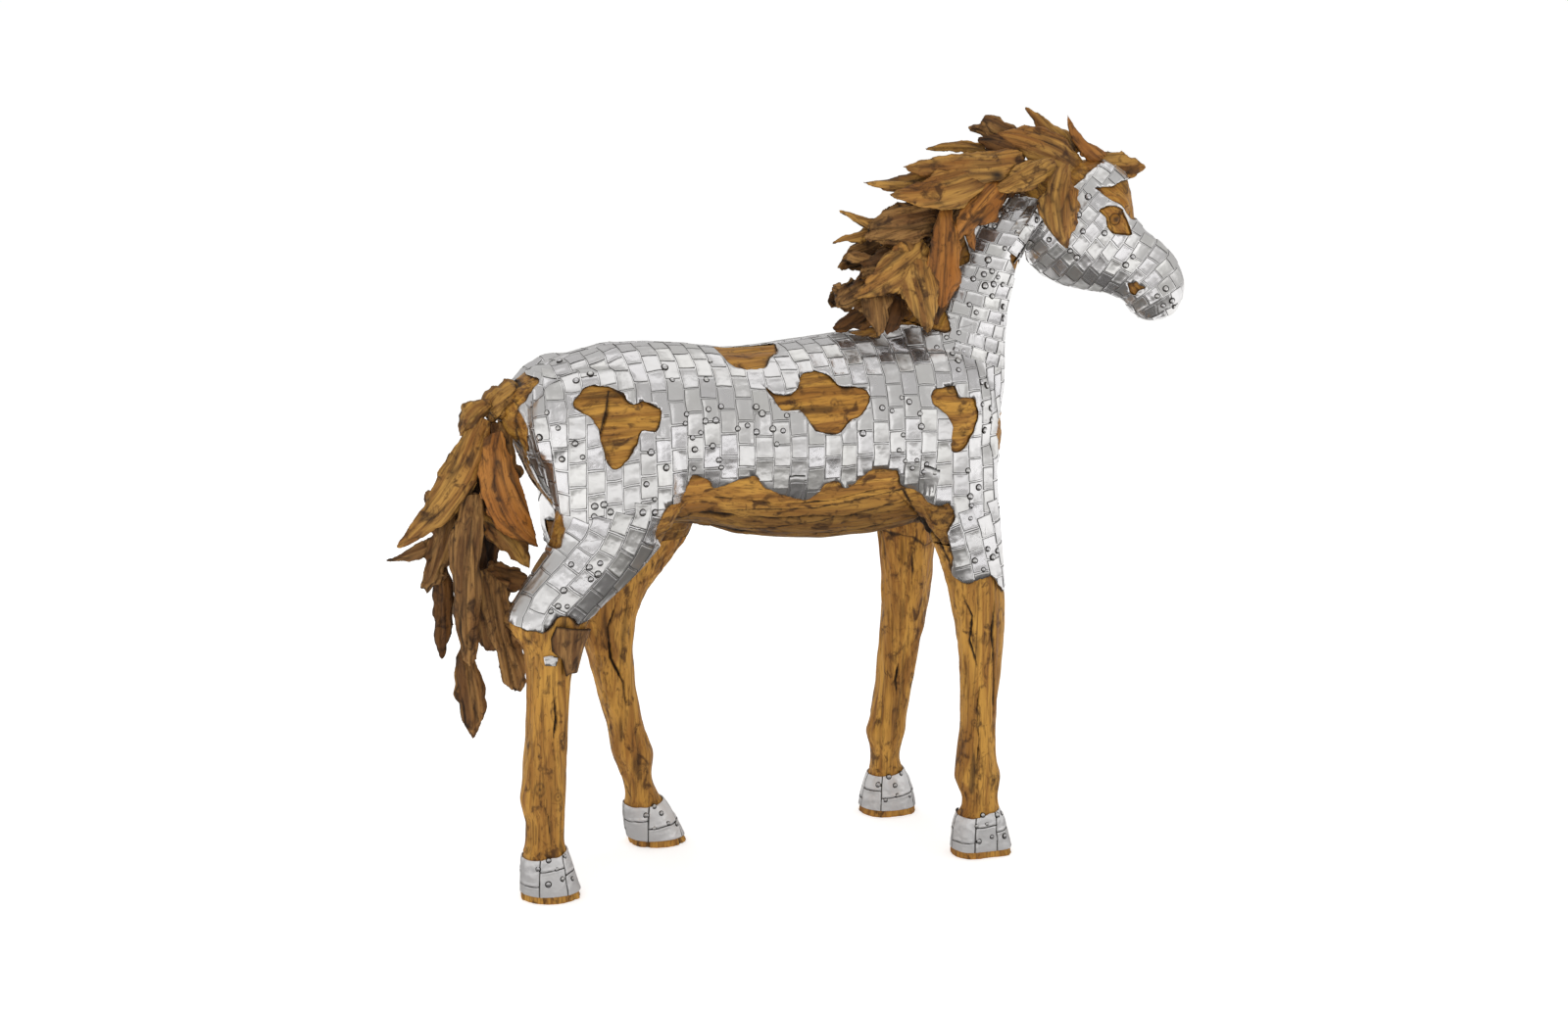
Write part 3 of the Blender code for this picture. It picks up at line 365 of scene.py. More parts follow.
# Leg stations: height, back x, front x, middle y, half width in y
LEGS = milli({
    "fore_right": [
        (780, 150, 362, -88, 72), (700, 176, 361, -100, 66), (622, 220, 362, -114, 56),
        (565, 244, 366, -121, 51), (516, 260, 369, -126, 48), (440, 273, 368, -131, 46),
        (345, 281, 359, -136, 41), (249, 281, 350, -141, 37), (191, 274, 351, -144, 39),
        (148, 269, 360, -146, 42), (112, 284, 351, -148, 35), (90, 284, 352, -150, 36),
        (74, 270, 362, -150, 44), (36, 265, 372, -151, 50), (0, 263, 381, -151, 54),
        (-30, 261, 388, -151, 57),
    ],
    "fore_left": [
        (780, 140, 356, 88, 72), (700, 160, 344, 100, 66), (622, 198, 330, 114, 56),
        (568, 212, 328, 121, 51), (487, 221, 326, 129, 48), (428, 222, 320, 133, 45),
        (368, 222, 308, 137, 42), (260, 217, 289, 144, 37), (200, 209, 282, 149, 39),
        (166, 200, 281, 151, 42), (119, 214, 268, 154, 34), (90, 212, 276, 156, 36),
        (70, 204, 290, 158, 44), (36, 195, 300, 159, 50), (0, 190, 306, 159, 54), (-30, 186, 310, 159, 57),
    ],
    "hind_right": [
        (900, -530, -250, -80, 60), (860, -528, -238, -90, 78), (785, -508, -240, -98, 80),
        (705, -492, -258, -104, 74), (639, -511, -300, -109, 66), (586, -548, -350, -113, 59),
        (540, -582, -410, -117, 53), (505, -588, -440, -119, 50), (466, -560, -458, -121, 47),
        (407, -559, -475, -123, 43), (307, -561, -483, -126, 40), (216, -570, -486, -128, 40),
        (186, -575, -487, -129, 43), (144, -562, -490, -130, 36), (104, -562, -494, -130, 37),
        (76, -572, -486, -130, 45), (36, -574, -474, -130, 51), (0, -575, -463, -130, 54),
        (-30, -575, -456, -130, 57),
    ],
    "hind_left": [
        (900, -530, -230, 80, 60), (860, -520, -206, 90, 78), (785, -498, -180, 98, 80),
        (705, -472, -166, 104, 74), (639, -468, -162, 108, 66), (592, -452, -186, 110, 59),
        (545, -434, -226, 112, 53), (500, -416, -262, 114, 48), (450, -398, -284, 116, 45),
        (390, -382, -289, 118, 43), (308, -360, -284, 120, 40), (240, -341, -268, 122, 40),
        (180, -333, -249, 122, 43), (130, -312, -254, 122, 35), (95, -306, -240, 122, 36),
        (72, -310, -222, 122, 44), (36, -307, -202, 121, 50), (0, -299, -186, 121, 54),
        (-30, -290, -176, 121, 57),
    ],
})

# Muscles added to both sides: centre x, y, z, then half length, half width, half height
MUSCLES = milli([
    (-412, 105, 860, 126, 64, 108), (-345, 105, 740, 95, 60, 85), (245, 100, 840, 110, 66, 130),
    (334, 52, 800, 56, 60, 90), (-20, 60, 800, 240, 118, 165),
])
# Head muscles in the head's own plane: jaw disc, brow, nostril
HEAD_MUSCLES = milli([
    (18, 36, 1158, 62, 45, 56), (100, 52, 1224, 38, 28, 22), (198, 26, 1054, 42, 26, 30),
])

# Hem of the metal on the right, from the tail, down the thigh, along the belly, to the front
HEM_RIGHT = worn(milli([
    (-581, 931), (-557, 921), (-535, 927), (-530, 940), (-507, 941), (-532, 908), (-553, 872), (-538, 810),
    (-531, 764), (-516, 740), (-489, 709), (-486, 684), (-498, 650), (-520, 648), (-534, 608), (-556, 588),
    (-600, 529), (-536, 503), (-505, 529), (-489, 529), (-467, 511), (-425, 528), (-364, 579), (-307, 635),
    (-325, 665), (-303, 716), (-268, 721), (-250, 767), (-214, 753), (-202, 739), (-138, 762), (-112, 736),
    (-42, 711), (-16, 722), (-1, 741), (24, 743), (42, 729), (91, 761), (139, 755), (150, 727), (187, 710),
    (214, 684), (244, 686), (254, 660), (242, 630), (255, 580), (257, 545), (281, 534), (325, 545),
    (355, 511), (380, 520),
]), False)
# The same on the left, which the photo doesn't show
HEM_LEFT = worn(milli([
    (-581, 931), (-557, 921), (-535, 927), (-530, 940), (-507, 941), (-538, 900), (-552, 870), (-532, 800),
    (-500, 700), (-492, 640), (-456, 548), (-418, 532), (-384, 545), (-352, 536), (-286, 600), (-262, 690),
    (-196, 736), (-150, 760), (-104, 728), (-12, 720), (34, 748), (118, 752), (152, 716), (190, 660),
    (204, 590), (262, 574), (292, 556), (322, 562), (350, 530), (380, 520),
]), False)
# Lower edge of the bare crest under the mane
MANE_EDGE = worn(milli([
    (58, 1006), (81, 993), (144, 988), (166, 1003), (201, 1009), (240, 1000), (267, 999), (263, 1037),
    (268, 1079), (276, 1105), (305, 1116), (319, 1127), (322, 1160), (330, 1203), (363, 1222), (388, 1241),
    (440, 1243),
]), False)
# Edge of the metal behind the brow, in the head's own plane
POLL_EDGE = worn(milli([
    (-110, 1243), (-40, 1236), (0, 1219), (16, 1233), (20, 1250), (45, 1271), (63, 1288), (85, 1301),
]), False)
# The bare crest and poll, closed well above the horse
MANE_ZONE = MANE_EDGE + [(0.440, 1.500), (-0.100, 1.500), (0.040, 1.040)]
POLL_ZONE = POLL_EDGE + [(0.085, 1.450), (-0.160, 1.450), (-0.160, 1.243)]

# Openings where the wood shows through the metal
PATCHES_RIGHT = milli({
    "barrel": [
        (-104, 917), (-83, 879), (-46, 875), (-25, 841), (18, 830), (45, 852), (73, 863), (90, 892),
        (77, 910), (35, 915), (18, 932), (-7, 941), (-37, 935), (-50, 914), (-70, 903), (-88, 906),
    ],
    "hip": [
        (-469, 904), (-458, 928), (-437, 940), (-406, 937), (-381, 927), (-365, 905), (-340, 907),
        (-307, 888), (-319, 855), (-348, 857), (-359, 831), (-392, 794), (-413, 800), (-429, 863),
        (-441, 885),
    ],
    "shoulder": [
        (208, 887), (216, 901), (253, 906), (263, 884), (296, 880), (301, 843), (284, 800), (260, 781),
        (246, 789), (246, 837), (230, 858), (212, 872),
    ],
    "saddle": [
        (-167, 1050), (-165, 975), (-156, 956), (-143, 948), (-97, 947), (-80, 959), (-60, 966),
        (-37, 985), (-35, 1050),
    ],
    "throat": [
        (449, 1162), (409, 1152), (400, 1138), (402, 1120), (412, 1104), (416, 1086), (449, 1086),
    ],
})
PATCHES_RIGHT = {name: worn(outline) for name, outline in PATCHES_RIGHT.items()}
PATCHES_LEFT = milli({
    "barrel": [
        (-150, 880), (-118, 848), (-70, 842), (-44, 862), (0, 858), (16, 890), (-20, 918), (-72, 934),
        (-108, 914),
    ],
    "hip": [
        (-440, 850), (-408, 806), (-372, 820), (-356, 858), (-330, 884), (-362, 912), (-410, 904),
        (-446, 886),
    ],
    "shoulder": [
        (196, 852), (222, 806), (256, 800), (268, 842), (254, 888), (216, 894),
    ],
})
PATCHES_LEFT = {name: worn(outline) for name, outline in PATCHES_LEFT.items()}
# Openings seen from behind and from the front, in y and z, and the x where each begins and ends
CLEFT = worn(milli([
    (-40, 560), (-50, 640), (-40, 700), (-34, 760), (-48, 800), (-70, 830), (-74, 866), (-44, 902),
    (10, 912), (44, 900), (70, 862), (64, 826), (46, 796), (36, 750), (42, 690), (50, 630), (40, 560),
]))
CLEFT_ENDS = (-2.0, -0.450)
BREAST = worn(milli([
    (-70, 844), (-106, 824), (-118, 804), (-110, 785), (-94, 764), (-64, 752), (-18, 748), (30, 760),
    (62, 782), (68, 812), (44, 838), (6, 852), (-36, 842),
]))
BREAST_ENDS = (0.300, 2.0)
# Inner sides of the legs that stay bare: back x, front x, half width, top
INNER_ROOMS = milli([
    (-2000, 330, 56, 720), (50, 326, 104, 690), (-470, -80, 90, 655),
])
EYE = worn(milli([
    (74, 1214), (93, 1222), (113, 1219), (122, 1208), (134, 1184), (140, 1166), (118, 1166), (101, 1170),
    (91, 1183), (87, 1201),
]), step=0.003, bite=0.0012)
BLAZE = worn(milli([
    (240, 1269), (126, 1267), (99, 1256), (68, 1256), (77, 1248), (94, 1234), (115, 1224), (128, 1208),
    (150, 1190), (240, 1185),
]), step=0.004, bite=0.0016)
NOSTRIL = worn(milli([
    (134, 1072), (142, 1074), (151, 1077), (156, 1070), (168, 1064), (155, 1058), (149, 1049), (140, 1054),
]), step=0.0025, bite=0.0008)

# Slab over the right hock, and the tab that pins it
HOCK_SLAB = milli([
    (-512, 514), (-478, 506), (-452, 500), (-430, 492), (-438, 462), (-452, 440), (-462, 418), (-486, 424),
    (-494, 420), (-502, 452), (-520, 468), (-522, 492),
])
HOCK_TAB = milli([
    (-534, 458), (-520, 460), (-508, 456), (-512, 440), (-532, 442),
])
HOCK_INNER = -0.135

# Top edge of each hoof sheet: back, wave and front height
HOOF_TOP = (0.080, 0.005, 0.092)

# How wide a prong is from its root to its tip, as shares of its width
LEAF = (0.45, 0.95, 1.00, 0.62, 0.12)
SPIKE = (1.00, 0.92, 0.74, 0.46, 0.10)
BLOCK = (0.70, 1.00, 0.96, 0.80, 0.34)
DROP = (0.30, 0.72, 1.00, 0.86, 0.12)

# Shards: outline, thickness, then prongs with root, tip, width, side bow and outward arch
MANE = milli({
    "mane_cheek": (DROP, 20, [((506, -84, 1302), (497, -112, 1143), 66, 26, 16)]),
    "mane_hanging": (LEAF, 18, [
        ((376, -80, 1264), (273, -98, 1164), 60, 6, 14), ((314, -92, 1200), (316, -100, 1142), 22, 4, 2)]),
    "mane_drop": (DROP, 20, [((262, -84, 1234), (243, -112, 1040), 62, 6, 18)]),
    "mane_fork": (LEAF, 22, [
        ((222, -90, 1164), (74, -98, 1068), 66, -4, 20), ((184, -92, 1158), (212, -128, 1000), 76, 4, 14)]),
    "mane_leaf": (LEAF, 18, [((352, -72, 1288), (150, -80, 1253), 70, -16, 18)]),
    "mane_swept": (LEAF, 22, [((428, -60, 1308), (184, -62, 1303), 66, -10, 16)]),
    "mane_long": (LEAF, 17, [((488, -70, 1304), (346, -86, 1252), 46, -4, 14)]),
    "mane_crest": (LEAF, 22, [((562, -30, 1282), (372, -34, 1358), 62, 6, 14)]),
    "mane_spike": (SPIKE, 20, [
        ((550, -4, 1300), (459, 10, 1402), 52, 2, 4), ((524, 4, 1328), (495, 8, 1381), 22, -2, 0)]),
    "mane_lump": (BLOCK, 22, [
        ((446, -12, 1330), (358, -10, 1382), 44, 0, 6), ((404, -6, 1346), (336, -4, 1369), 24, 0, 0)]),
    "mane_forelock": (LEAF, 22, [((584, 6, 1284), (692, -36, 1286), 60, 4, 10)]),
    "mane_ear": (SPIKE, 18, [((600, -26, 1298), (533, -18, 1388), 36, -12, 2)]),
    "mane_point": (LEAF, 16, [((322, -48, 1282), (110, -50, 1275), 40, -9, 10)]),
    "mane_slab": (BLOCK, 18, [
        ((440, -40, 1312), (340, -38, 1350), 34, 2, 6), ((446, -36, 1292), (270, -36, 1205), 62, 2, 0)]),
    "mane_finger": (SPIKE, 14, [((366, -26, 1326), (240, -26, 1332), 28, 2, 4)]),
    "mane_bark": (BLOCK, 24, [
        ((260, -66, 1208), (108, -70, 1178), 74, 4, 12), ((312, -46, 1216), (150, -50, 1140), 68, 2, 0)]),
    "mane_low_bark": (BLOCK, 22, [
        ((216, -68, 1140), (100, -68, 1112), 50, 2, 12), ((142, -66, 1126), (73, -66, 1144), 26, 0, 0)]),
    "mane_triangle": (SPIKE, 18, [((118, -86, 1076), (117, -116, 996), 60, 0, 8)]),
    "mane_chunk": (BLOCK, 24, [
        ((118, -62, 1080), (54, -64, 1050), 48, 2, 6), ((66, -62, 1076), (46, -60, 1086), 20, 2, 0)]),
    "mane_tuck": (LEAF, 18, [((176, -70, 1064), (138, -108, 998), 52, 2, 8)]),
    "mane_back": (LEAF, 20, [((250, -64, 1150), (238, -98, 1010), 64, 0, 10)]),
    "mane_upper_tip": (SPIKE, 16, [((196, -50, 1186), (62, -52, 1226), 34, -10, 6)]),
    "mane_mid_tip": (SPIKE, 14, [((170, -36, 1190), (54, -36, 1162), 34, 2, 6)]),
    "mane_low_slab": (BLOCK, 16, [
        ((150, -34, 1024), (58, -36, 1004), 34, 2, 4), ((215, -40, 1076), (80, -40, 1010), 58, 2, 0)]),
    "mane_left_1": (DROP, 20, [((500, 82, 1296), (452, 100, 1176), 62, -14, 14)]),
    "mane_left_2": (LEAF, 20, [((440, 60, 1306), (272, 78, 1250), 70, 10, 16)]),
    "mane_left_3": (LEAF, 20, [((384, 64, 1250), (216, 80, 1180), 70, 8, 16)]),
    "mane_left_4": (DROP, 20, [((324, 74, 1186), (246, 104, 1036), 70, -6, 14)]),
    "mane_left_5": (LEAF, 22, [((260, 70, 1168), (108, 78, 1104), 70, 4, 16)]),
    "mane_left_6": (LEAF, 20, [((226, 92, 1114), (172, 124, 998), 70, -4, 12)]),
    "mane_left_7": (BLOCK, 20, [((160, 66, 1066), (86, 70, 1034), 50, 4, 10)]),
})

TAIL = milli({
    "tail_dock": (BLOCK, 62, [((-526, -6, 918), (-590, -8, 862), 62, 8, 0)]),
    "tail_lobe": (LEAF, 26, [((-590, -36, 900), (-650, -34, 842), 44, 8, 4)]),
    "tail_long": (LEAF, 24, [((-606, -40, 876), (-771, -46, 648), 64, -24, 6)]),
    "tail_leaf": (LEAF, 22, [((-598, -66, 850), (-512, -60, 634), 74, 32, 10)]),
    "tail_log": (BLOCK, 34, [((-634, -58, 742), (-643, -50, 420), 54, 12, 6)]),
    "tail_bottom": (DROP, 32, [((-646, -18, 458), (-632, -18, 277), 52, 0, 0)]),
    "tail_prongs": (SPIKE, 30, [
        ((-662, -10, 730), (-712, -10, 554), 74, -4, 4), ((-680, -10, 654), (-786, -8, 619), 34, -8, 0),
        ((-676, -10, 596), (-724, -10, 562), 24, 0, 0)]),
    "tail_strip": (BLOCK, 24, [
        ((-572, -14, 862), (-550, -14, 668), 44, 0, 0), ((-562, -14, 772), (-526, -14, 762), 28, 0, 0)]),
    "tail_low_leaf": (LEAF, 22, [((-606, -24, 704), (-522, -24, 588), 62, -12, 6)]),
    "tail_chunk": (BLOCK, 26, [
        ((-612, -22, 594), (-588, -26, 440), 82, 2, 4), ((-582, -24, 500), (-545, -30, 358), 50, 0, 0),
        ((-622, -22, 516), (-500, -24, 472), 62, 0, 0), ((-604, -22, 590), (-526, -20, 560), 52, 0, 0)]),
    "tail_small": (BLOCK, 20, [((-680, 4, 600), (-680, 10, 424), 34, -4, 0)]),
    "tail_backing": (LEAF, 34, [((-600, 20, 860), (-616, 20, 470), 92, 8, 0)]),
})

print("outlines:", len(TORSO), "torso stations,", len(MANE) + len(TAIL), "shards,",
      len(HEM_RIGHT), "points in the right hem,", len(EYE), "round the eye")

# %% [markdown]
# The wood is old teak root with an oil finish: golden brown, with darker streaks along the grain
# and soft dark blotches. Each wooden piece carries two attributes. "grain" is a point in metres
# whose first number runs along the grain, so one formula follows every bent shard. "soot"
# is 1 where the wood is painted near black, and 0 elsewhere: real scorch, knots and joints between
# timbers, and painted shade in cracks, grooves and hollows, along the edges of the metal, on the
# lower belly, on faces turned down and on the inner sides of the shards.

# %% The wood finish
GOLD = (0.56, 0.285, 0.05)
BROWN = (0.32, 0.14, 0.024)
DARK = (0.06, 0.023, 0.006)
RUST = (0.36, 0.125, 0.018)
# Near black, for scorched wood and for painted shade
SOOT_AND_SHADE = (0.016, 0.009, 0.005)


def wood_finish(name, light, middle, dark, ruddy=0.25, rough=0.46, furrow=0.0006):
    material, shader, start = new_material(name)
    grain = attribute(start, "grain", 1)
    soot = attribute(start, "soot", 2)
    fibre = grain.stretched(8, 170, 170).noise(1.0, 4.0, 0.62, 0.5)
    strand = grain.stretched(2.6, 40, 40).noise(1.0, 3.0, 0.55, 0.8)
    blotch = grain.stretched(22, 34, 34).noise(1.0, 4.0, 0.62, 0.6)
    cloud = grain.stretched(4.5, 8, 8).noise(1.0, 2.0, 0.5)
    speck = grain.stretched(34, 80, 80).noise(1.0, 3.0, 0.6, 0.8)
    body = strand.clip(0.36, 0.64).between(middle, light)
    body = (cloud.clip(0.50, 0.66) * ruddy).between(body, RUST)
    body = (fibre.clip(0.48, 0.66) * 0.56).between(body, dark)
    body = (blotch.clip(0.52, 0.68) * 0.86).between(body, dark)
    body = (speck.clip(0.60, 0.74) * 0.60).between(body, dark)
    # Where the mask is 1 the wood turns near black: real scorch, knots and joints, and painted shade
    body = soot.clip(0.0, 1.0).between(body, SOOT_AND_SHADE)
    feed(shader, "Base Color", body)
    feed(shader, "Roughness", rough + fibre * 0.22 - blotch * 0.10)
    height = fibre + strand * 0.9 - speck.clip(0.58, 0.70) * 0.6
    feed(shader, "Normal", bump(start, height, furrow))
    shader.inputs["Specular IOR Level"].default_value = 0.26
    return material


body_wood = wood_finish("body_wood", GOLD, BROWN, DARK, ruddy=0.22)
gold_wood = wood_finish("gold_wood", (0.50, 0.265, 0.060), (0.225, 0.098, 0.022), DARK, ruddy=0.35,
                        furrow=0.0010)
rust_wood = wood_finish("rust_wood", (0.45, 0.185, 0.036), (0.25, 0.092, 0.018), DARK, ruddy=0.8, rough=0.40,
                        furrow=0.0008)
bark_wood = wood_finish("bark_wood", (0.36, 0.190, 0.060), (0.15, 0.066, 0.020), (0.04, 0.018, 0.007),
                        ruddy=0.08, rough=0.6, furrow=0.0013)
# A near-black copy of the wood for the shards that fill the gaps of mane and tail: painted shade
dark_wood = wood_finish("dark_wood", (0.19, 0.082, 0.020), (0.095, 0.038, 0.010), (0.028, 0.012, 0.005),
                        ruddy=0.12, rough=0.6, furrow=0.0011)
print("wood finishes:", [m.name for m in (body_wood, gold_wood, rust_wood, bark_wood, dark_wood)])

# %% [markdown]
# The sheet is bright and soft, so it is full of shallow dents and no plate is quite like the next. The
# attribute "tone" is one random number for each plate and shifts its colour and its gloss. The
# attribute "edge" is 1 at a plate's rim and sides, along the seams of the hooves and at the foot of a
# rivet, which are painted near black: painted shade in the seams, with some dirt.

# %% The sheet metal finish
def metal_finish(name, bright=0.80, rough=0.19, dents=0.0026, metallic=1.0):
    material, shader, start = new_material(name)
    place = start.node("ShaderNodeTexCoord", None, None, 3)
    tone = attribute(start, "tone", 2)
    edge = attribute(start, "edge", 2)
    ripple = place.noise(30.0, 2.0, 0.5)
    fine = place.noise(170.0, 2.0, 0.5)
    smear = place.noise(11.0, 3.0, 0.6)
    clean = tone.between((bright * 0.95, bright * 0.935, bright * 0.955),
                         (bright, bright * 0.99, bright * 0.97))
    clean = (smear.clip(0.52, 0.75) * 0.30).between(clean, (bright * 0.72, bright * 0.70, bright * 0.67))
    # Where "edge" is 1 the metal is painted near black: painted shade in the seams, with some dirt
    feed(shader, "Base Color", edge.clip(0.22, 0.85).between(clean, (0.045, 0.040, 0.036)))
    shader.inputs["Metallic"].default_value = metallic
    feed(shader, "Roughness", rough + tone * 0.06 + smear * 0.14 + edge * 0.25)
    feed(shader, "Normal", bump(start, ripple + fine * 0.07, dents))
    return material


plate_metal = metal_finish("plate_metal")
hoof_metal = metal_finish("hoof_metal", bright=0.85, rough=0.28, dents=0.0040, metallic=0.62)
rivet_metal = metal_finish("rivet_metal", bright=0.74, rough=0.18, dents=0.0004)
print("metal finishes:", [m.name for m in (plate_metal, hoof_metal, rivet_metal)])

# %% [markdown]
# The real horse was carved from several timbers that were joined and smoothed into one body. Here one
# closed blank is made first: tubes through the stations and a few muscle balls are laid into each
# other, a Remesh modifier melts them into one skin, and a Smooth modifier rounds off the joins. All
# wood and metal is then taken from this blank, so that everything fits.

# %% Make the body blank
FINE_VOXEL = 0.006
FINE_SMOOTHING = 26


def mesh_object(name, bm):
    bmesh.ops.recalc_face_normals(bm, faces=bm.faces)
    if bm.calc_volume(signed=True) < 0:
        bmesh.ops.reverse_faces(bm, faces=bm.faces)
    mesh = bpy.data.meshes.new(name)
    bm.to_mesh(mesh)
    bm.free()
    return add_object(name, mesh)


def discard(*objects):
    for obj in objects:
        bpy.data.objects.remove(obj)


def loft(bm, rings):
    made = [[bm.verts.new(point) for point in ring] for ring in rings]
    for first, second in zip(made, made[1:]):
        for i in range(len(first)):
            j = (i + 1) % len(first)
            bm.faces.new((first[i], first[j], second[j], second[i]))
    bm.faces.new(list(reversed(made[0])))
    bm.faces.new(made[-1])


def rounded_ring(centre, across, up, points=20, fullness=2.3):
    ring = []
    for i in range(points):
        angle = 2 * math.pi * i / points
        a = math.copysign(abs(math.cos(angle)) ** (2 / fullness), math.cos(angle))
        b = math.copysign(abs(math.sin(angle)) ** (2 / fullness), math.sin(angle))
        ring.append(centre + across * a + up * b)
    return ring


def ball(bm, place, centre, half, rings=8):
    x, y, z = centre
    stations = []
    for i in range(1, rings):
        angle = math.pi * i / rings
        level = z + half[2] * math.cos(angle)
        middle = place(x, y, level)
        along = place(x + half[0] * math.sin(angle), y, level) - middle
        side = place(x, y + half[1] * math.sin(angle), level) - middle
        stations.append(rounded_ring(middle, along, side, points=16, fullness=2))
    loft(bm, stations)


# A step from the origin of a plane, in metres
def span(x, y, z, place=at):
    return place(x, y, z) - place(0, 0, 0)


# A ring between two points of a plane, as wide as twice its half
def ring_between(place, x0, z0, x1, z1, half, fullness=2.3):
    first = place(x0, 0, z0)
    second = place(x1, 0, z1)
    across = span(0, half, 0, place)
    return rounded_ring((first + second) / 2, across, (first - second) / 2, fullness=fullness)


def body_lofts(bm):
    loft(bm, [rounded_ring(at(x, 0, (top + low) / 2), span(0, half, 0), span(0, 0, (top - low) / 2))
              for x, top, low, half in TORSO])
    loft(bm, [ring_between(at, *station, fullness=2.1) for station in NECK])
    loft(bm, [ring_between(in_head, *station) for station in HEAD])
    for stations in LEGS.values():
        loft(bm, [rounded_ring(at((back + front) / 2, middle, z), span(0, half, 0),
                               span((back - front) / 2, 0, 0), fullness=2.2)
                  for z, back, front, middle, half in stations])
    for side in (-1, 1):
        for x, y, z, *half in MUSCLES:
            ball(bm, at, (x, side * y, z), half)
        for x, y, z, *half in HEAD_MUSCLES:
            ball(bm, in_head, (x, side * y, z), half)


def baked(obj, name):
    graph = bpy.context.evaluated_depsgraph_get()
    graph.update()
    return add_object(name, bpy.data.meshes.new_from_object(obj.evaluated_get(graph)))


# Melts the overlapping solids of a mesh into one skin and softens it
def melted(bm, name, voxel, smoothing):
    raw = mesh_object("raw", bm)
    melt = raw.modifiers.new("melt", "REMESH")
    melt.mode = "VOXEL"
    melt.voxel_size = voxel
    soften = raw.modifiers.new("soften", "SMOOTH")
    soften.factor = 0.5
    soften.iterations = smoothing
    made = baked(raw, name)
    discard(raw)
    return made


def points_of(obj, key="co"):
    flat = np.empty(len(obj.data.vertices) * 3)
    obj.data.vertices.foreach_get(key, flat)
    return flat.reshape(-1, 3)


def normals_of(obj):
    return points_of(obj, "normal")


def move_points(obj, points):
    obj.data.vertices.foreach_set("co", np.asarray(points, np.float32).ravel())
    obj.data.update()


# Presses points that come too near the faces of the CAD box back inside, softly
def pressed_in(points, margin=0.006, soft=0.012):
    low = np.array(cad_box[0]) + margin
    high = np.array(cad_box[1]) - margin
    low[2] = -9
    for side, limit in ((1, high), (-1, low)):
        over = (points - limit) * side + soft
        eased = soft * (1 - np.exp(-np.maximum(over, 0) / soft))
        points = np.where(over > 0, limit + side * (eased - soft), points)
    return points


body = bmesh.new()
body_lofts(body)
blank = melted(body, "blank", FINE_VOXEL, FINE_SMOOTHING)
move_points(blank, pressed_in(points_of(blank)))
blank_tree = BVHTree.FromPolygons([v.co for v in blank.data.vertices],
                                  [p.vertices for p in blank.data.polygons])
print("body blank:", len(blank.data.polygons), "faces")

# %% [markdown]
# Ragged outlines part wood from metal. They are drawn in the side plane, like the body, and are used
# three ways: as prisms that cut solids, as tests of whether a point lies in the metal, and as lines
# whose distance tells where the wood is painted dark along the metal: painted shade and scorch.

# %% Tools for outlines
def boolean(first, second, operation, solver="MANIFOLD"):
    modifier = first.modifiers.new("boolean", "BOOLEAN")
    modifier.solver = solver
    modifier.operation = operation
    modifier.object = second
    made = baked(first, "cut")
    first.modifiers.remove(modifier)
    return made


def replace_boolean(first, second, operation, solver="MANIFOLD"):
    made = boolean(first, second, operation, solver)
    discard(first, second)
    return made


def prism(outline, place, y_from, y_to):
    bm = bmesh.new()
    near = [bm.verts.new(place(x, y_from, z)) for x, z in outline]
    far = [bm.verts.new(place(x, y_to, z)) for x, z in outline]
    for i in range(len(outline)):
        j = (i + 1) % len(outline)
        bm.faces.new((near[i], near[j], far[j], far[i]))
    caps = [bm.faces.new(near), bm.faces.new(list(reversed(far)))]
    bmesh.ops.triangulate(bm, faces=caps, ngon_method="EAR_CLIP")
    return mesh_object("prism", bm)


def box(low, high):
    x0, y0, z0 = low
    x1, y1, z1 = high
    return prism([(x0, z0), (x1, z0), (x1, z1), (x0, z1)], at, y0, y1)


def take_away(piece, *cutters):
    for cutter in cutters:
        piece = replace_boolean(piece, cutter, "DIFFERENCE")
    return piece


# Numbers and places of the points that lie near a line
def close_to(line, x, z, reach):
    xs, zs = zip(*line)
    near = np.nonzero((x > min(xs) - reach) & (x < max(xs) + reach)
                      & (z > min(zs) - reach) & (z < max(zs) + reach))[0]
    return near, x[near], z[near]


# Which of many points lie inside an outline
def inside(outline, x, z):
    near, px, pz = close_to(outline, x, z, 0)
    crossed = np.zeros(len(near), bool)
    for (x0, z0), (x1, z1) in zip(outline, outline[1:] + outline[:1]):
        if z0 != z1:
            crossed ^= ((z0 > pz) != (z1 > pz)) & (px < x0 + (pz - z0) * (x1 - x0) / (z1 - z0))
    found = np.zeros(len(x), bool)
    found[near] = crossed
    return found


# How far each point is from a closed or open line, in shares
def distance_to(line, x, z, closed=True, reach=0.04):
    best = np.full(len(x), 9.0)
    near, px, pz = close_to(line, x, z, reach)
    found = np.full(len(near), 9.0)
    ends = line[1:] + line[:1] if closed else line[1:]
    for (x0, z0), (x1, z1) in zip(line, ends):
        dx = x1 - x0
        dz = z1 - z0
        t = np.clip(((px - x0) * dx + (pz - z0) * dz) / max(dx * dx + dz * dz, 1e-9), 0, 1)
        found = np.minimum(found, np.hypot(px - x0 - t * dx, pz - z0 - t * dz))
    best[near] = found
    return best


def set_attribute(obj, name, values, kind="FLOAT"):
    found = obj.data.attributes.get(name)
    if found:
        obj.data.attributes.remove(found)
    made = obj.data.attributes.new(name, kind, "POINT")
    key = "vector" if kind == "FLOAT_VECTOR" else "value"
    made.data.foreach_set(key, np.asarray(values, np.float32).ravel())


def below_hem(hem):
    return hem + [(0.60, 0.50), (0.60, -0.10), (-0.80, -0.10), (-0.80, 0.931)]


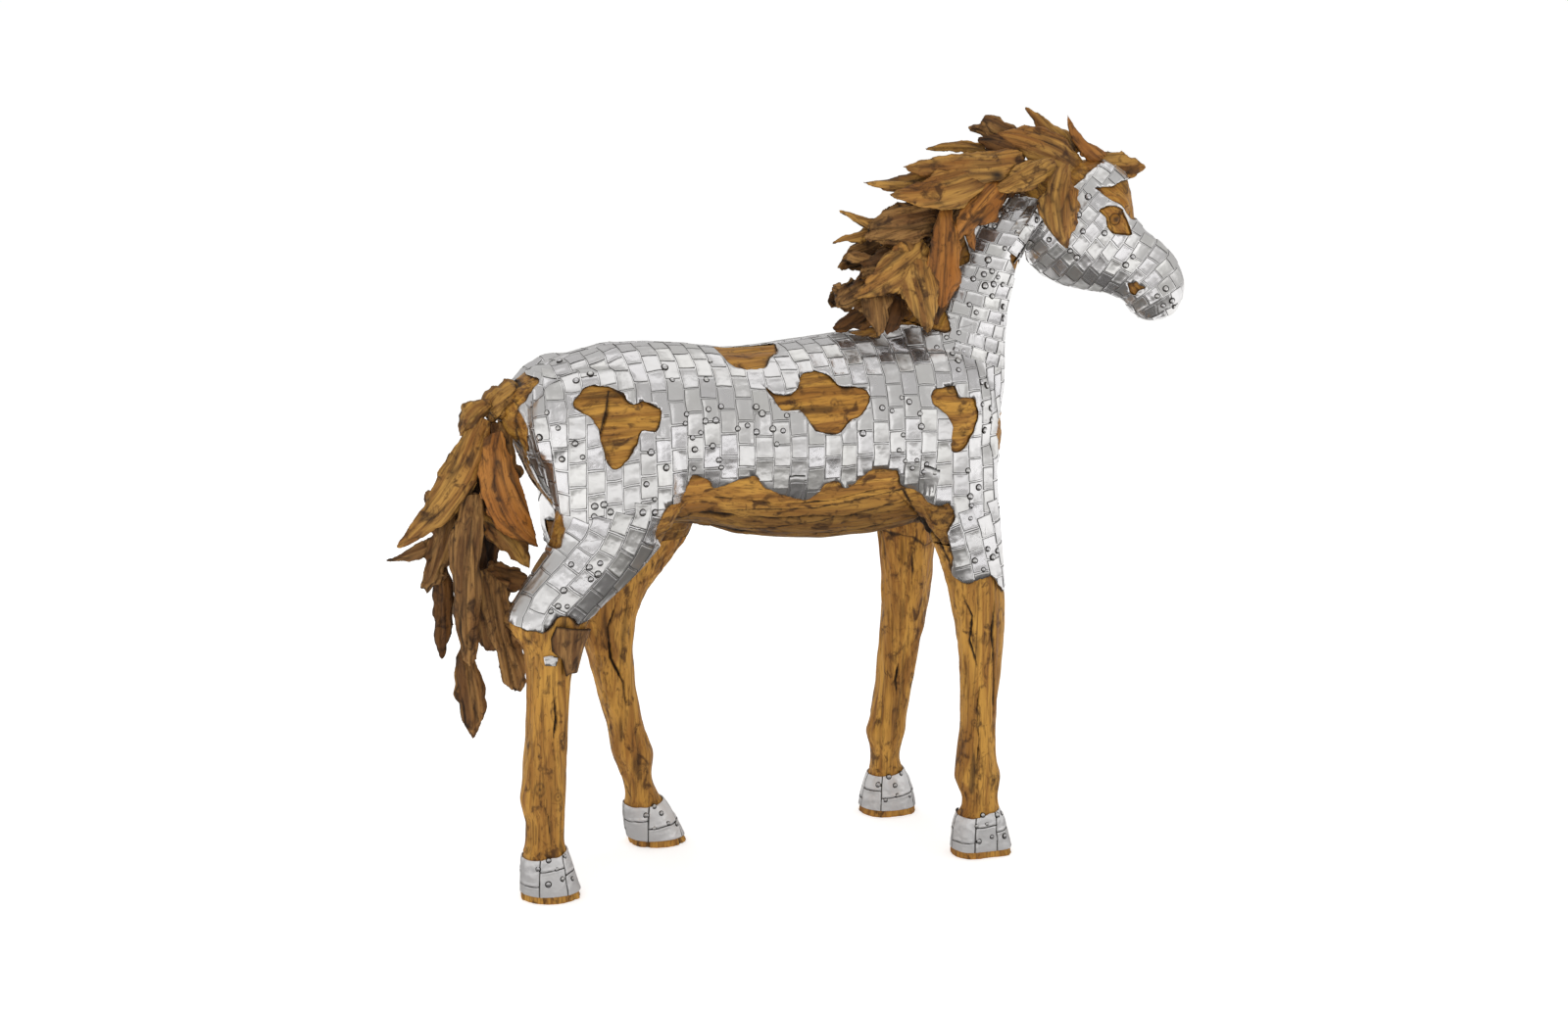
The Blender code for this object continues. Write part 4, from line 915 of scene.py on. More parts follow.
# 1 where the point is bare wood, 0 under the metal, and the distance to the nearest edge of metal
def bare_wood(points):
    shares = to_shares(points)
    head = to_head(points)
    x, y, z = shares.T
    bare = np.zeros(len(x), bool)
    edge = np.full(len(x), 9.0)
    for hem, side in ((HEM_RIGHT, y < 0), (HEM_LEFT, y >= 0)):
        bare[side] = inside(below_hem(hem), x[side], z[side])
        edge[side] = distance_to(hem, x[side], z[side], False)
    for back, front, half, top in INNER_ROOMS:
        bare |= (np.abs(y) < half) & (z < top) & (x > back) & (x < front)
    for outline, (back, front) in ((CLEFT, CLEFT_ENDS), (BREAST, BREAST_ENDS)):
        seen = (x > back) & (x < front)
        bare |= inside(outline, y, z) & seen
        edge = np.where(seen, np.minimum(edge, distance_to(outline, y, z)), edge)
    bare |= inside(MANE_ZONE, x, z)
    edge = np.minimum(edge, distance_to(MANE_EDGE, x, z, False))
    for patches, side in ((PATCHES_RIGHT, y < 0.012), (PATCHES_LEFT, y > 0.012)):
        for outline in patches.values():
            bare |= inside(outline, x, z) & side
            edge = np.where(side, np.minimum(edge, distance_to(outline, x, z)), edge)
    in_face = head[:, 0] > THROAT_CUT
    for outline in (POLL_ZONE, EYE, BLAZE, NOSTRIL):
        bare |= inside(outline, head[:, 0], head[:, 2]) & in_face
        near = distance_to(outline, head[:, 0], head[:, 2])
        edge = np.where(in_face, np.minimum(edge, near), edge)
    return bare, edge


print("outline tools ready")

# %% [markdown]
# The blank is sawn into the timbers of the real body: torso, neck, head and four legs. Where wood
# shows, the mesh is made twice as fine and carved: long waves along the grain, tool marks, cracks and
# knots. Where metal covers it, the mesh is thinned out, because nobody sees it.

# %% Saw the blank into timbers
def ahead_of_throat():
    start = THROAT_CUT + HALF_GAP
    return prism([(start, 0), (REACH, 0), (REACH, REACH), (start, REACH)], in_head, -REACH, REACH)


def behind_throat():
    start = THROAT_CUT - HALF_GAP
    outline = [(start, -REACH), (start, REACH), (-REACH, REACH), (-REACH, -REACH)]
    return prism(outline, in_head, -REACH, REACH)


def above_seat():
    high, low = NECK_SEAT
    return prism([high, low, (REACH, REACH), (high[0], REACH)], at, -REACH, REACH)


def below_seat():
    high, low = NECK_SEAT
    step = HALF_GAP * 2.2
    outline = [(low[0], low[1] - step), (high[0], high[1] - step)]
    return prism(outline + [(-REACH, high[1]), (-REACH, 0), (low[0], 0)], at, -REACH, REACH)


def kept_in(piece, *rooms):
    for room in rooms:
        piece = replace_boolean(piece, room, "INTERSECT")
    return piece


def saw_timbers():
    floor_cut = box((-REACH, -REACH, -REACH), (REACH, REACH, -SHIFT.z))
    standing = boolean(blank, floor_cut, "DIFFERENCE")
    discard(floor_cut)
    timbers = {}
    for leg in LEGS:
        low_x, high_x = (-REACH, MIDRIFF) if leg.startswith("hind") else (MIDRIFF, REACH)
        low_y, high_y = (-REACH, 0) if leg.endswith("right") else (0, REACH)
        room = box((low_x, low_y, -REACH), (high_x, high_y, LEG_SEAT - HALF_GAP))
        timbers["leg_" + leg] = boolean(standing, room, "INTERSECT")
        discard(room)
    top = replace_boolean(standing, box((-REACH, -REACH, LEG_SEAT + HALF_GAP), (REACH, REACH, REACH)),
                          "INTERSECT")
    head_room = ahead_of_throat()
    timbers["head"] = boolean(top, head_room, "INTERSECT")
    rest = kept_in(top, behind_throat())
    neck_room = above_seat()
    timbers["neck"] = boolean(rest, neck_room, "INTERSECT")
    timbers["torso"] = kept_in(rest, below_seat())
    discard(head_room, neck_room)
    return timbers


timbers = saw_timbers()
print("timbers:", {name: len(obj.data.polygons) for name, obj in timbers.items()})

# %% Carve what shows
MOST_TRIANGLES = 185000
# Directions of the grain: down each leg, along the barrel, up the neck, down the face
GRAIN = {"torso": (1.0, 0.0, 0.02), "neck": (0.45, 0.0, 0.9), "head": (0.62, -0.22, -0.75),
         "leg": (0.0, 0.0, 1.0)}

# Cracks: side (-1 right, 1 left, 0 both), half width and depth in mm, then x and z in thousandths
CRACKS = [
    (-1, 3.5, 7, [(-262, 688), (-180, 680), (-90, 672), (-10, 672), (110, 662)]),
    (-1, 2.6, 4, [(-60, 700), (20, 704), (80, 716), (150, 722)]),
    (-1, 2.8, 5, [(-230, 722), (-160, 716), (-80, 700)]),
    (-1, 3.2, 6, [(182, 722), (192, 690), (214, 652), (232, 630)]),
    (-1, 3.6, 8, [(150, 706), (196, 660), (238, 600), (246, 560)]),
    (-1, 3.0, 7, [(-404, 926), (-410, 890), (-424, 852), (-436, 824)]),
    (-1, 2.6, 4, [(-430, 838), (-418, 846), (-404, 836), (-400, 818)]),
    (-1, 2.6, 5, [(-318, 632), (-350, 590), (-398, 556), (-430, 520)]),
    (-1, 2.8, 5, [(334, 500), (330, 430), (338, 340), (334, 250), (340, 190)]),
    (-1, 2.6, 4, [(268, 520), (290, 470), (286, 420), (300, 370), (296, 330)]),
    (-1, 2.8, 8, [(306, 345), (300, 290), (304, 230), (297, 170), (300, 105)]),
    (-1, 2.8, 5, [(-518, 400), (-512, 340), (-520, 290), (-514, 240)]),
    (-1, 2.6, 4, [(-548, 200), (-530, 160), (-526, 110), (-532, 80)]),
    (1, 3.0, 6, [(-330, 500), (-350, 440), (-344, 380), (-318, 330), (-310, 260)]),
    (1, 3.0, 5, [(262, 560), (268, 500), (262, 440), (270, 400)]),
    (1, 2.8, 5, [(250, 330), (244, 280), (250, 230)]),
    (1, 3.2, 6, [(-250, 690), (-150, 684), (-40, 674), (100, 668)]),
    (0, 3.2, 6, [(-230, 652), (-100, 632), (50, 628), (160, 640)]),
]

# Long seams where one timber lies over the next: side, step in mm, then x and z in thousandths
TIMBER_SEAMS = [
    (-1, 5.0, [(-300, 668), (-210, 690), (-120, 694), (-20, 690), (80, 704), (160, 716)]),
    (-1, 3.5, [(-200, 652), (-110, 650), (0, 660), (110, 682), (180, 690)]),
    (-1, 4.0, [(160, 712), (190, 668), (226, 620), (250, 574)]),
    (-1, 3.0, [(-440, 822), (-424, 860), (-412, 900), (-404, 930)]),
    (1, 5.0, [(-280, 676), (-160, 694), (0, 688), (140, 704)]),
]

# Knots: side, x and z in thousandths, radius in mm
KNOTS = [
    (-1, -545, 212, 17), (-1, -512, 196, 12), (-1, -500, 306, 13), (-1, 330, 150, 15), (-1, 296, 262, 10),
    (-1, -420, 812, 20), (-1, 20, 884, 14), (-1, -60, 892, 10), (-1, 270, 820, 12), (1, -262, 240, 13),
    (1, -370, 540, 15), (1, 250, 190, 13), (1, 240, 640, 14), (-1, -270, 668, 15), (-1, 60, 640, 16),
    (-1, -120, 650, 12),
]


# The eye: a rim of lid inside the opening and a dark knot for the ball
def eye_relief(head):
    edge = distance_to(EYE, head[:, 0], head[:, 2]) * WITHERS
    within = inside(EYE, head[:, 0], head[:, 2]) & (head[:, 0] > THROAT_CUT)
    lid = 0.0042 * bell(edge - 0.006, 0.0035) * within
    away = np.hypot(head[:, 0] - 0.107, head[:, 2] - 1.196) * WITHERS
    ball_height = (0.0065 * unit(1 - (away / 0.0125) ** 2) - 0.0030) * within
    pupil = unit(1.4 - away / 0.0085) * within
    crease = bell(away - 0.0140, 0.0022) * within
    return lid, ball_height - 0.002 * crease, np.maximum(pupil * 0.72, crease * 0.7)


def grain_of(points, direction):
    along = Vector(direction).normalized()
    across = along.cross(Vector((0, 1, 0))).normalized()
    deep = along.cross(across)
    axes = np.array([along, across, deep])
    made = points @ axes.T
    for i, (u, v, w) in enumerate(made):
        bend = noise.noise_vector((u * 2.2, v * 4.0, w * 4.0))
        made[i, 1] += bend[0] * 0.018
        made[i, 2] += bend[1] * 0.018
    return made


def noise_over(points, scale, seed=0.0):
    return np.array([noise.noise((x * scale[0] + seed, y * scale[1], z * scale[2]))
                     for x, y, z in points])


def refine(obj, chosen):
    bm = bmesh.new()
    bm.from_mesh(obj.data)
    bm.verts.ensure_lookup_table()
    edges = [e for e in bm.edges if chosen[e.verts[0].index] and chosen[e.verts[1].index]]
    bmesh.ops.subdivide_edges(bm, edges=edges, cuts=1, use_grid_fill=True, smooth=0.0)
    bm.to_mesh(obj.data)
    bm.free()


def carve(obj, direction, wave=1.0):
    points = points_of(obj)
    normals = normals_of(obj)
    bare, edge = bare_wood(points)
    edge = edge * WITHERS
    shares = to_shares(points)
    grain = grain_of(points, direction)
    depth = np.full(len(points), -0.0010)
    depth += 0.0026 * wave * noise_over(grain, (5, 24, 24))
    depth += 0.0013 * wave * noise_over(grain, (16, 80, 80), 3.1)
    valley = unit(noise_over(grain, (6, 55, 55), 8.2) * 2.6 - 0.65)
    depth -= 0.0024 * wave * valley
    # The carved grooves are darkened: painted shade
    soot = valley * 0.55
    x, y, z = shares.T
    wobble = noise_over(points, (60, 60, 60), 1.7) * 0.0022
    gape = noise_over(points, (11, 11, 11), 4.4)
    # Each crack is cut in and painted near black inside: painted shade
    for side, half, deep, line in CRACKS:
        line = milli(line)
        near = distance_to(line, x, z, False) * WITHERS + wobble
        seen = y * side >= 0
        ends = np.min([np.hypot(x - end_x, z - end_z) for end_x, end_z in (line[0], line[-1])], axis=0)
        swell = unit(0.35 + ends * 14) * np.clip(0.90 + 0.9 * gape, 0.50, 1.3)
        fall = bell(near, half * 0.0008 * np.maximum(swell, 0.3)) * seen
        depth -= deep * 0.0014 * fall * swell
        soot = np.maximum(soot, unit(fall * 1.5) * unit(swell) * 0.95)
    for side, knot_x, knot_z, radius in KNOTS:
        near = np.hypot(x - knot_x / 1000, (z - knot_z / 1000) * 0.8) * WITHERS / (radius * 0.001)
        rings = bell(near) * (y * side > 0)
        depth -= 0.0016 * rings * (1 - np.cos(near * 7.0) * 0.6)
        soot = np.maximum(soot, rings * (0.45 + 0.3 * np.cos(near * 9.0)))
    # A ragged band of wood along the metal's edge is painted dark: painted shade under it, some scorch
    rim = 0.0030 + 0.011 * noise_over(points, (34, 34, 34), 5.5)
    soot = np.maximum(soot, unit(1.25 - edge / np.maximum(rim, 0.0022)) * 0.75)
    depth -= 0.0020 * bell(edge, 0.009)
    for side, step, line in TIMBER_SEAMS:
        line = milli(line)
        near = distance_to(line, x, z, False, 0.06) * WITHERS + wobble
        seen = (y * side > 0) & (near < 0.05)
        under = inside(line + [(line[-1][0], line[-1][1] - 0.06), (line[0][0], line[0][1] - 0.06)], x, z)
        depth += np.where(seen & under, -step * 0.001 * np.exp(-near / 0.020), 0)
        depth += np.where(seen & ~under, step * 0.0005 * np.exp(-near / 0.012), 0)
        soot = np.maximum(soot, bell(near, 0.0034) * seen * 0.95)
    if direction == GRAIN["head"]:
        head = to_head(points)
        lid, ball_height, pupil = eye_relief(head)
        depth += lid + ball_height
        soot = np.maximum(soot * 0.8, pupil)
    sunk = -0.0045 - 0.0075 * unit((edge - 0.008) / 0.030)
    depth = np.where(bare, np.clip(depth, -0.014, 0.0045), sunk)
    shod = (z > SOLE_SHOWN / WITHERS) & (z < 0.088)
    depth = np.where(shod, np.minimum(depth, -0.0015), depth)
    # The lower belly of the torso and every face turned down are painted darker: painted shade
    low = unit((0.730 - z) / 0.060) * (0.42 if direction == GRAIN["torso"] else 0.0)
    soot = np.maximum(soot, low + 0.25 * unit(-normals[:, 2] - 0.3))
    carved = points + normals * depth[:, None]
    carved[:, 2] = np.where(points[:, 2] < 0.0006, 0.0, np.maximum(carved[:, 2], 0.0))
    move_points(obj, carved)
    set_attribute(obj, "grain", grain, "FLOAT_VECTOR")
    set_attribute(obj, "soot", unit(soot))
    return bare


def triangles_in(obj):
    return sum(len(p.vertices) - 2 for p in obj.data.polygons)


def thinned(obj, group=""):
    thin = obj.modifiers.new("thin", "DECIMATE")
    thin.ratio = MOST_TRIANGLES / triangles_in(obj)
    thin.vertex_group = group
    thin.use_collapse_triangulate = True
    made = baked(obj, obj.name)
    discard(obj)
    return made


# Thins out the covered faces, so that a piece stays light
def thin_covered(obj, covered):
    if triangles_in(obj) <= MOST_TRIANGLES or not covered.any():
        return obj
    group = obj.vertex_groups.new(name="covered")
    group.add([int(i) for i in np.nonzero(covered)[0]], 1.0, "REPLACE")
    made = thinned(obj, "covered")
    made.vertex_groups.clear()
    return thinned(made) if triangles_in(made) > MOST_TRIANGLES else made


def smooth_shaded(obj, material):
    obj.data.materials.clear()
    obj.data.materials.append(material)
    obj.data.polygons.foreach_set("use_smooth", [True] * len(obj.data.polygons))
    obj.data.polygons.foreach_set("material_index", [0] * len(obj.data.polygons))


pieces = {}
for name, timber in timbers.items():
    bare, edge = bare_wood(points_of(timber))
    refine(timber, bare | (edge < 0.012))
    if name == "head":
        head = to_head(points_of(timber))
        refine(timber, distance_to(EYE, head[:, 0], head[:, 2]) < 0.02)
    bare = carve(timber, GRAIN[name.split("_")[0]], 2.0 if name.startswith("leg") else 1.7)
    shown, edge = bare_wood(points_of(timber))
    timber = thin_covered(timber, ~(shown | (edge < 0.02)))
    timber.name = "wood_" + name
    smooth_shaded(timber, body_wood)
    pieces[name] = timber
print("carved:", {name: len(obj.data.polygons) for name, obj in pieces.items()})

# %% [markdown]
# Mane and tail are split and pointed offcuts of root wood, each one different. Every shard is drawn
# with one or more prongs from the CAD table. A prong is a chain of oval rings whose width wavers and
# whose blade twists a little. A Remesh modifier melts the prongs of a shard together, and then they
# are carved along their own grain.

# %% Make the carved shards
SHARD_VOXEL = 0.0032
# Carving takes wood away, so a prong is lofted a little wider than it is drawn
SHARD_SPARE = 1.18


def spine_of(root, tip):
    start = at(*root)
    end = at(*tip)
    along = (end - start).normalized()
    facing = Vector((0, -1 if root[1] <= SHARD_SIDE else 1, 0.25))
    facing = (facing - along * facing.dot(along)).normalized()
    side = along.cross(facing)
    return start, end, side, facing


def rich_prong(bm, profile, thick, prong, seed, steps=22, points=14):
    root, tip, width, bow, arch = prong
    start, end, side, facing = spine_of(root, tip)
    places = np.linspace(0, 1, len(profile))
    rings = []
    for i in range(steps + 1):
        t = i / steps
        blunt = 0.20 + 0.16 * noise.noise((seed * 3.7, 0.4, 0.9))
        share = max(float(np.interp(t, places, profile)) * SHARD_SPARE, blunt)
        ends = min(1.0, 0.35 + 5.0 * t, 0.22 + 6.0 * (1 - t))
        swing = 4 * t * (1 - t)
        middle = start.lerp(end, t) + (side * bow + facing * arch) * (swing * WITHERS)
        middle += side * (0.010 * swing * noise.noise((t * 3.0, seed, 5.5)))
        wobble_a = 1 + 0.34 * noise.noise((t * 4.0, seed, 0.3)) + 0.22 * noise.noise((t * 11.0, seed, 4.1))
        wobble_b = 1 + 0.34 * noise.noise((t * 4.0, seed, 7.3)) + 0.22 * noise.noise((t * 11.0, seed, 9.1))
        twist = 0.5 * noise.noise((t * 2.2, seed, 2.2))
        taper = 1.0 if t < 0.94 else math.sqrt(max(0.0, 1 - ((t - 0.94) / 0.062) ** 2))
        half = width * share * WITHERS / 2 * max(taper, 0.25)
        deep = thick * (0.35 + 0.65 * share) * WITHERS / 2 * ends
        wide = side * math.cos(twist) + facing * math.sin(twist)
        tall = facing * math.cos(twist) - side * math.sin(twist)
        ring = []
        for j in range(points):
            angle = 2 * math.pi * j / points
            a = math.cos(angle)
            b = math.sin(angle)
            reach = half * (wobble_a if a > 0 else wobble_b)
            ridge = 1 + 0.22 * noise.noise((a * 2.0, b * 2.0, seed + t * 3.0))
            ring.append(middle + wide * (a * reach) + tall * (b * deep * ridge * (0.72 + 0.28 * abs(b))))
        rings.append(ring)
    loft(bm, rings)


# Metres along, across and deep of the nearest prong, for each point
def shard_grain(points, prongs):
    best = np.full(len(points), 9.0)
    grain = np.zeros((len(points), 3))
    for number, prong in enumerate(prongs):
        start, end, side, facing = spine_of(*prong[:2])
        length = (end - start).length
        along = (end - start).normalized()
        away = points - np.array(start)
        t = unit(away @ np.array(along) / length)
        swing = 4 * t * (1 - t)
        offset = np.array((side * prong[3] + facing * prong[4]) * WITHERS)
        away = away - swing[:, None] * offset
        across = away @ np.array(side)
        deep = away @ np.array(facing)
        distance = np.hypot(across, deep) / (prong[2] * WITHERS)
        near = distance < best
        best = np.minimum(best, distance)
        found = np.column_stack((t * length + number * 3.1, across, deep))
        grain[near] = found[near]
    return grain


def carved_shard(name, profile, thick, prongs, material, seed, rough=1.0):
    bm = bmesh.new()
    for number, prong in enumerate(prongs):
        depth = thick if number == 0 else thick * 0.85
        rich_prong(bm, profile, depth, prong, seed + number * 17.0)
    made = melted(bm, "carved_" + name, SHARD_VOXEL, 3)
    points = points_of(made)
    grain = shard_grain(points, prongs)
    groove = noise_over(grain, (9, 90, 90), seed)
    furrow = noise_over(grain, (22, 190, 190), seed + 5)
    lumps = noise_over(grain, (14, 30, 30), seed + 9)
    ridge = np.abs(noise_over(grain, (5, 42, 42), seed + 13))
    valley = np.clip(0.16 - ridge, 0, 0.16) / 0.16
    facets = np.round(noise_over(grain, (7, 20, 20), seed + 17) * 3.2) / 3.2
    depth = rough * (0.0022 * groove + 0.0013 * furrow + 0.0024 * lumps + 0.0034 * facets
                     - 0.0026 * valley) - 0.0010
    move_points(made, pressed_in(points + normals_of(made) * depth[:, None], 0.0015, 0.004))
    # Grooves, hollows, the side towards the neck and each shard's rim are painted dark: painted shade
    inner = unit(-grain[:, 2] / (thick * WITHERS * 0.5) - 0.1)
    facing = np.array(spine_of(*prongs[0][:2])[3])
    rim = unit(1 - np.abs(normals_of(made) @ facing) * 1.25)
    soot = unit(valley * 0.55 + unit(-lumps * 2.0 - 0.5) * 0.5 + inner * 0.6 + rim * 0.6)
    set_attribute(made, "grain", grain + seed * 0.37, "FLOAT_VECTOR")
    set_attribute(made, "soot", soot)
    smooth_shaded(made, material)
    return made


# The finish and the roughness of the shards that differ from plain gold
FINISHES = (
    (gold_wood, {"mane_cheek": 0.7, "mane_fork": 1.2, "mane_spike": 0.8, "tail_low_leaf": 1.0}),
    (rust_wood, {"mane_hanging": 0.6, "mane_drop": 0.6, "mane_ear": 0.6, "mane_left_3": 0.8,
                 "tail_leaf": 0.8}),
    (bark_wood, {"mane_bark": 2.0, "mane_low_bark": 2.0, "mane_chunk": 1.7, "mane_triangle": 1.2,
                 "mane_lump": 1.0, "mane_left_5": 1.5, "mane_left_7": 1.5, "tail_log": 1.3,
                 "tail_bottom": 1.1, "tail_prongs": 1.5, "tail_chunk": 1.4, "tail_strip": 1.2}),
    # Near-black shards that fill the gaps of mane and tail: painted shade
    (dark_wood, {"mane_back": 1.5, "mane_tuck": 1.4, "mane_low_slab": 1.2, "mane_slab": 1.0,
                 "tail_backing": 1.6, "tail_small": 1.2}),
)
shards = {**MANE, **TAIL}
for number, (name, (profile, thick, prongs)) in enumerate(shards.items()):
    found = [(wood, group[name]) for wood, group in FINISHES if name in group]
    finish, rough = found[0] if found else (gold_wood, 0.9)
    pieces[name] = carved_shard(name, profile, thick, prongs, finish, 1.0 + number * 2.37, rough)
print("shards:", len(shards), "with", sum(len(pieces[n].data.polygons) for n in shards), "faces")

# %% [markdown]
# The sheet was laid in courses: rings around the barrel and across the neck, and rows down the legs.
# To lay plates like that, each region gets a form: rings of points found by casting rays from the
# inside of the blank to its skin. Its UV map holds, in metres, how far each point is along the
# course and around it.

# %% Ring forms over the blank
# A ring is a centre, the direction of its zero line, the direction of its side, and a tilt
def ring_points(ring, low, high, count):
    centre, zero, side, tilt = ring
    points = []
    for angle in np.radians(np.linspace(low, high, count)):
        direction = zero * math.cos(angle) + side * math.sin(angle) + tilt
        hit = blank_tree.ray_cast(centre, direction)[0]
        if hit is None:
            return None
        points.append(hit)
    return np.array(points)


def ring_form(name, rings, low, high, count, swapped=False):
    rows = (ring_points(ring, low, high, count) for ring in rings)
    rows = np.array([row for row in rows if row is not None])
    flank = slice(count // 3, 2 * count // 3 + 1)
    steps = np.linalg.norm(rows[1:, flank] - rows[:-1, flank], axis=2).mean(axis=1)
    along = np.concatenate([[0], np.cumsum(steps)])
    around = np.zeros(rows.shape[:2])
    gaps = np.linalg.norm(rows[:, 1:] - rows[:, :-1], axis=2)
    around[:, 1:] = np.cumsum(gaps, axis=1)
    angles = np.linspace(low, high, count)
    around -= np.array([[np.interp(0.0, angles, row)] for row in around])
    bm = bmesh.new()
    layer = bm.loops.layers.uv.new("pattern")
    verts = [[bm.verts.new(p) for p in row] for row in rows]
    for i in range(len(rows) - 1):
        for j in range(count - 1):
            corners = ((i, j), (i + 1, j), (i + 1, j + 1), (i, j + 1))
            face = bm.faces.new([verts[a][b] for a, b in corners])
            for loop, (a, b) in zip(face.loops, corners):
                place = (along[a], around[a, b])
                loop[layer].uv = place[::-1] if swapped else place
    mesh = bpy.data.meshes.new(name)
    bm.to_mesh(mesh)
    bm.free()
    form = add_object(name, mesh)
    form["size"] = (along[-1], float(around.min()), float(around.max()))
    centre = np.array(rings[len(rings) // 2][0])
    middle = rows.shape[0] // 2
    outwards = rows[middle, count // 2] - centre
    if np.dot(outwards, np.array(form.data.polygons[middle * (count - 1) + count // 2].normal)) < 0:
        form.data.flip_normals()
    form.data.polygons.foreach_set("use_smooth", [True] * len(form.data.polygons))
    return form


def between_stations(table, share):
    place = share * (len(table) - 1)
    i = min(int(place), len(table) - 2)
    return [a + (b - a) * (place - i) for a, b in zip(table[i], table[i + 1])]


SIDE = Vector((0, -1, 0))
UP = Vector((0, 0, 1))
NONE = Vector((0, 0, 0))


def torso_rings(side):
    rings = []
    for turn in np.radians(np.linspace(86, 8, 10)):
        back = Vector((-math.sin(turn), side.y * math.cos(turn), 0))
        lean = Vector((-0.55 * math.sin(turn), 0, 1)).normalized()
        rings.append((at(-0.47, 0, 0.80), back, lean, NONE))
    for x in np.linspace(-0.47, 0.330, 78):
        middle = np.interp(x, (-0.47, -0.36, 0.25, 0.33), (0.80, 0.815, 0.80, 0.80))
        rings.append((at(x, 0, middle), side, UP, NONE))
    for turn in np.radians(np.linspace(8, 86, 10)):
        ahead = Vector((math.sin(turn), side.y * math.cos(turn), 0))
        rings.append((at(0.330, 0, 0.80), ahead, UP, NONE))
    return rings


# Middle line of the neck, and how far the courses slope down to the front
NECK_COURSE = [(0.262, 0.850, 23), (0.285, 0.905, 22), (0.312, 0.962, 19), (0.352, 1.070, 14),
               (0.400, 1.160, 12), (0.440, 1.215, 12), (0.470, 1.262, 12)]


def neck_rings(side):
    rings = []
    for share in np.linspace(0.0, 1.0, 90):
        x, z, slope = between_stations(NECK_COURSE, share)
        slope = math.radians(slope)
        rings.append((at(x, 0, z), side, Vector((math.cos(slope), 0, -math.sin(slope))), NONE))
    return rings


def head_rings(side):
    rings = []
    across = span(0, side.y, 0, in_head).normalized()
    front_h, front_z, jaw_h, jaw_z, half = HEAD[0]
    up = (in_head(front_h, 0, front_z) - in_head(jaw_h, 0, jaw_z)).normalized()
    for behind in np.linspace(0.060, 0.006, 9):
        centre = in_head((front_h + jaw_h) / 2 - behind, 0, (front_z + jaw_z) / 2 - behind * 0.2)
        rings.append((centre, across, up, NONE))
    for share in np.linspace(0.0, 0.90, 64):
        front_h, front_z, jaw_h, jaw_z, half = between_stations(HEAD, share)
        front = in_head(front_h, 0, front_z)
        jaw = in_head(jaw_h, 0, jaw_z)
        rings.append(((front + jaw) / 2, across, (front - jaw).normalized(), NONE))
    centre, _, up, _ = rings[-1]
    ahead = across.cross(up).normalized()
    if ahead.z > 0:
        ahead = -ahead
    for share in (0.2, 0.45, 0.75, 1.2, 2.0, 4.0):
        rings.append((centre, across, up, ahead * share))
    return rings


def leg_rings(leg, high, low):
    stations = LEGS[leg][::-1]
    heights = [row[0] for row in stations]
    outer = SIDE if leg.endswith("right") else -SIDE

    def centre_at(z):
        back, front, middle = (np.interp(z, heights, [row[k] for row in stations]) for k in (1, 2, 3))
        return at((back + front) / 2, middle, z)

    rings = []
    for z in np.linspace(high, low, 44):
        axis = (centre_at(z - 0.05) - centre_at(z + 0.05)).normalized()
        zero = (outer - axis * outer.dot(axis)).normalized()
        rings.append((centre_at(z), zero, zero.cross(axis), NONE))
    return rings


forms = {}
for word, side in (("right", SIDE), ("left", -SIDE)):
    forms["torso_" + word] = ring_form("torso_form_" + word, torso_rings(side), -68, 100, 121)
    forms["neck_" + word] = ring_form("neck_form_" + word, neck_rings(side), -100, 100, 101)
    forms["head_" + word] = ring_form("head_form_" + word, head_rings(side), -98, 98, 91)
for leg in LEGS:
    high = 0.76 if leg.startswith("hind") else 0.72
    forms[leg] = ring_form(leg + "_form", leg_rings(leg, high, 0.49), -125, 125, 97, True)
for name, form in forms.items():
    print("form", name, len(form.data.vertices), "points, size", [round(v, 3) for v in form["size"]])

# %% [markdown]
# One plate is a small closed pad: a raised bead round its rim, a soft pillow inside, and sides painted
# dark as painted shade with some dirt. A Geometry Nodes tree lays copies of it in courses on the flat
# pattern, with every second course shifted by half a plate, and wraps them onto the form: the node
# Sample UV Surface finds the point of the form that belongs to a place of the pattern. The tree ends by
# making real mesh.

# %% One plate
RISE = [(0.0, 0.0016), (0.036, 0.0038), (0.078, 0.0030), (0.36, 0.0026)]


def plate_height(u, v):
    rim = min(u, v, 1 - u, 1 - v)
    places = [place for place, _ in RISE]
    return float(np.interp(rim, places, [rise for _, rise in RISE]))


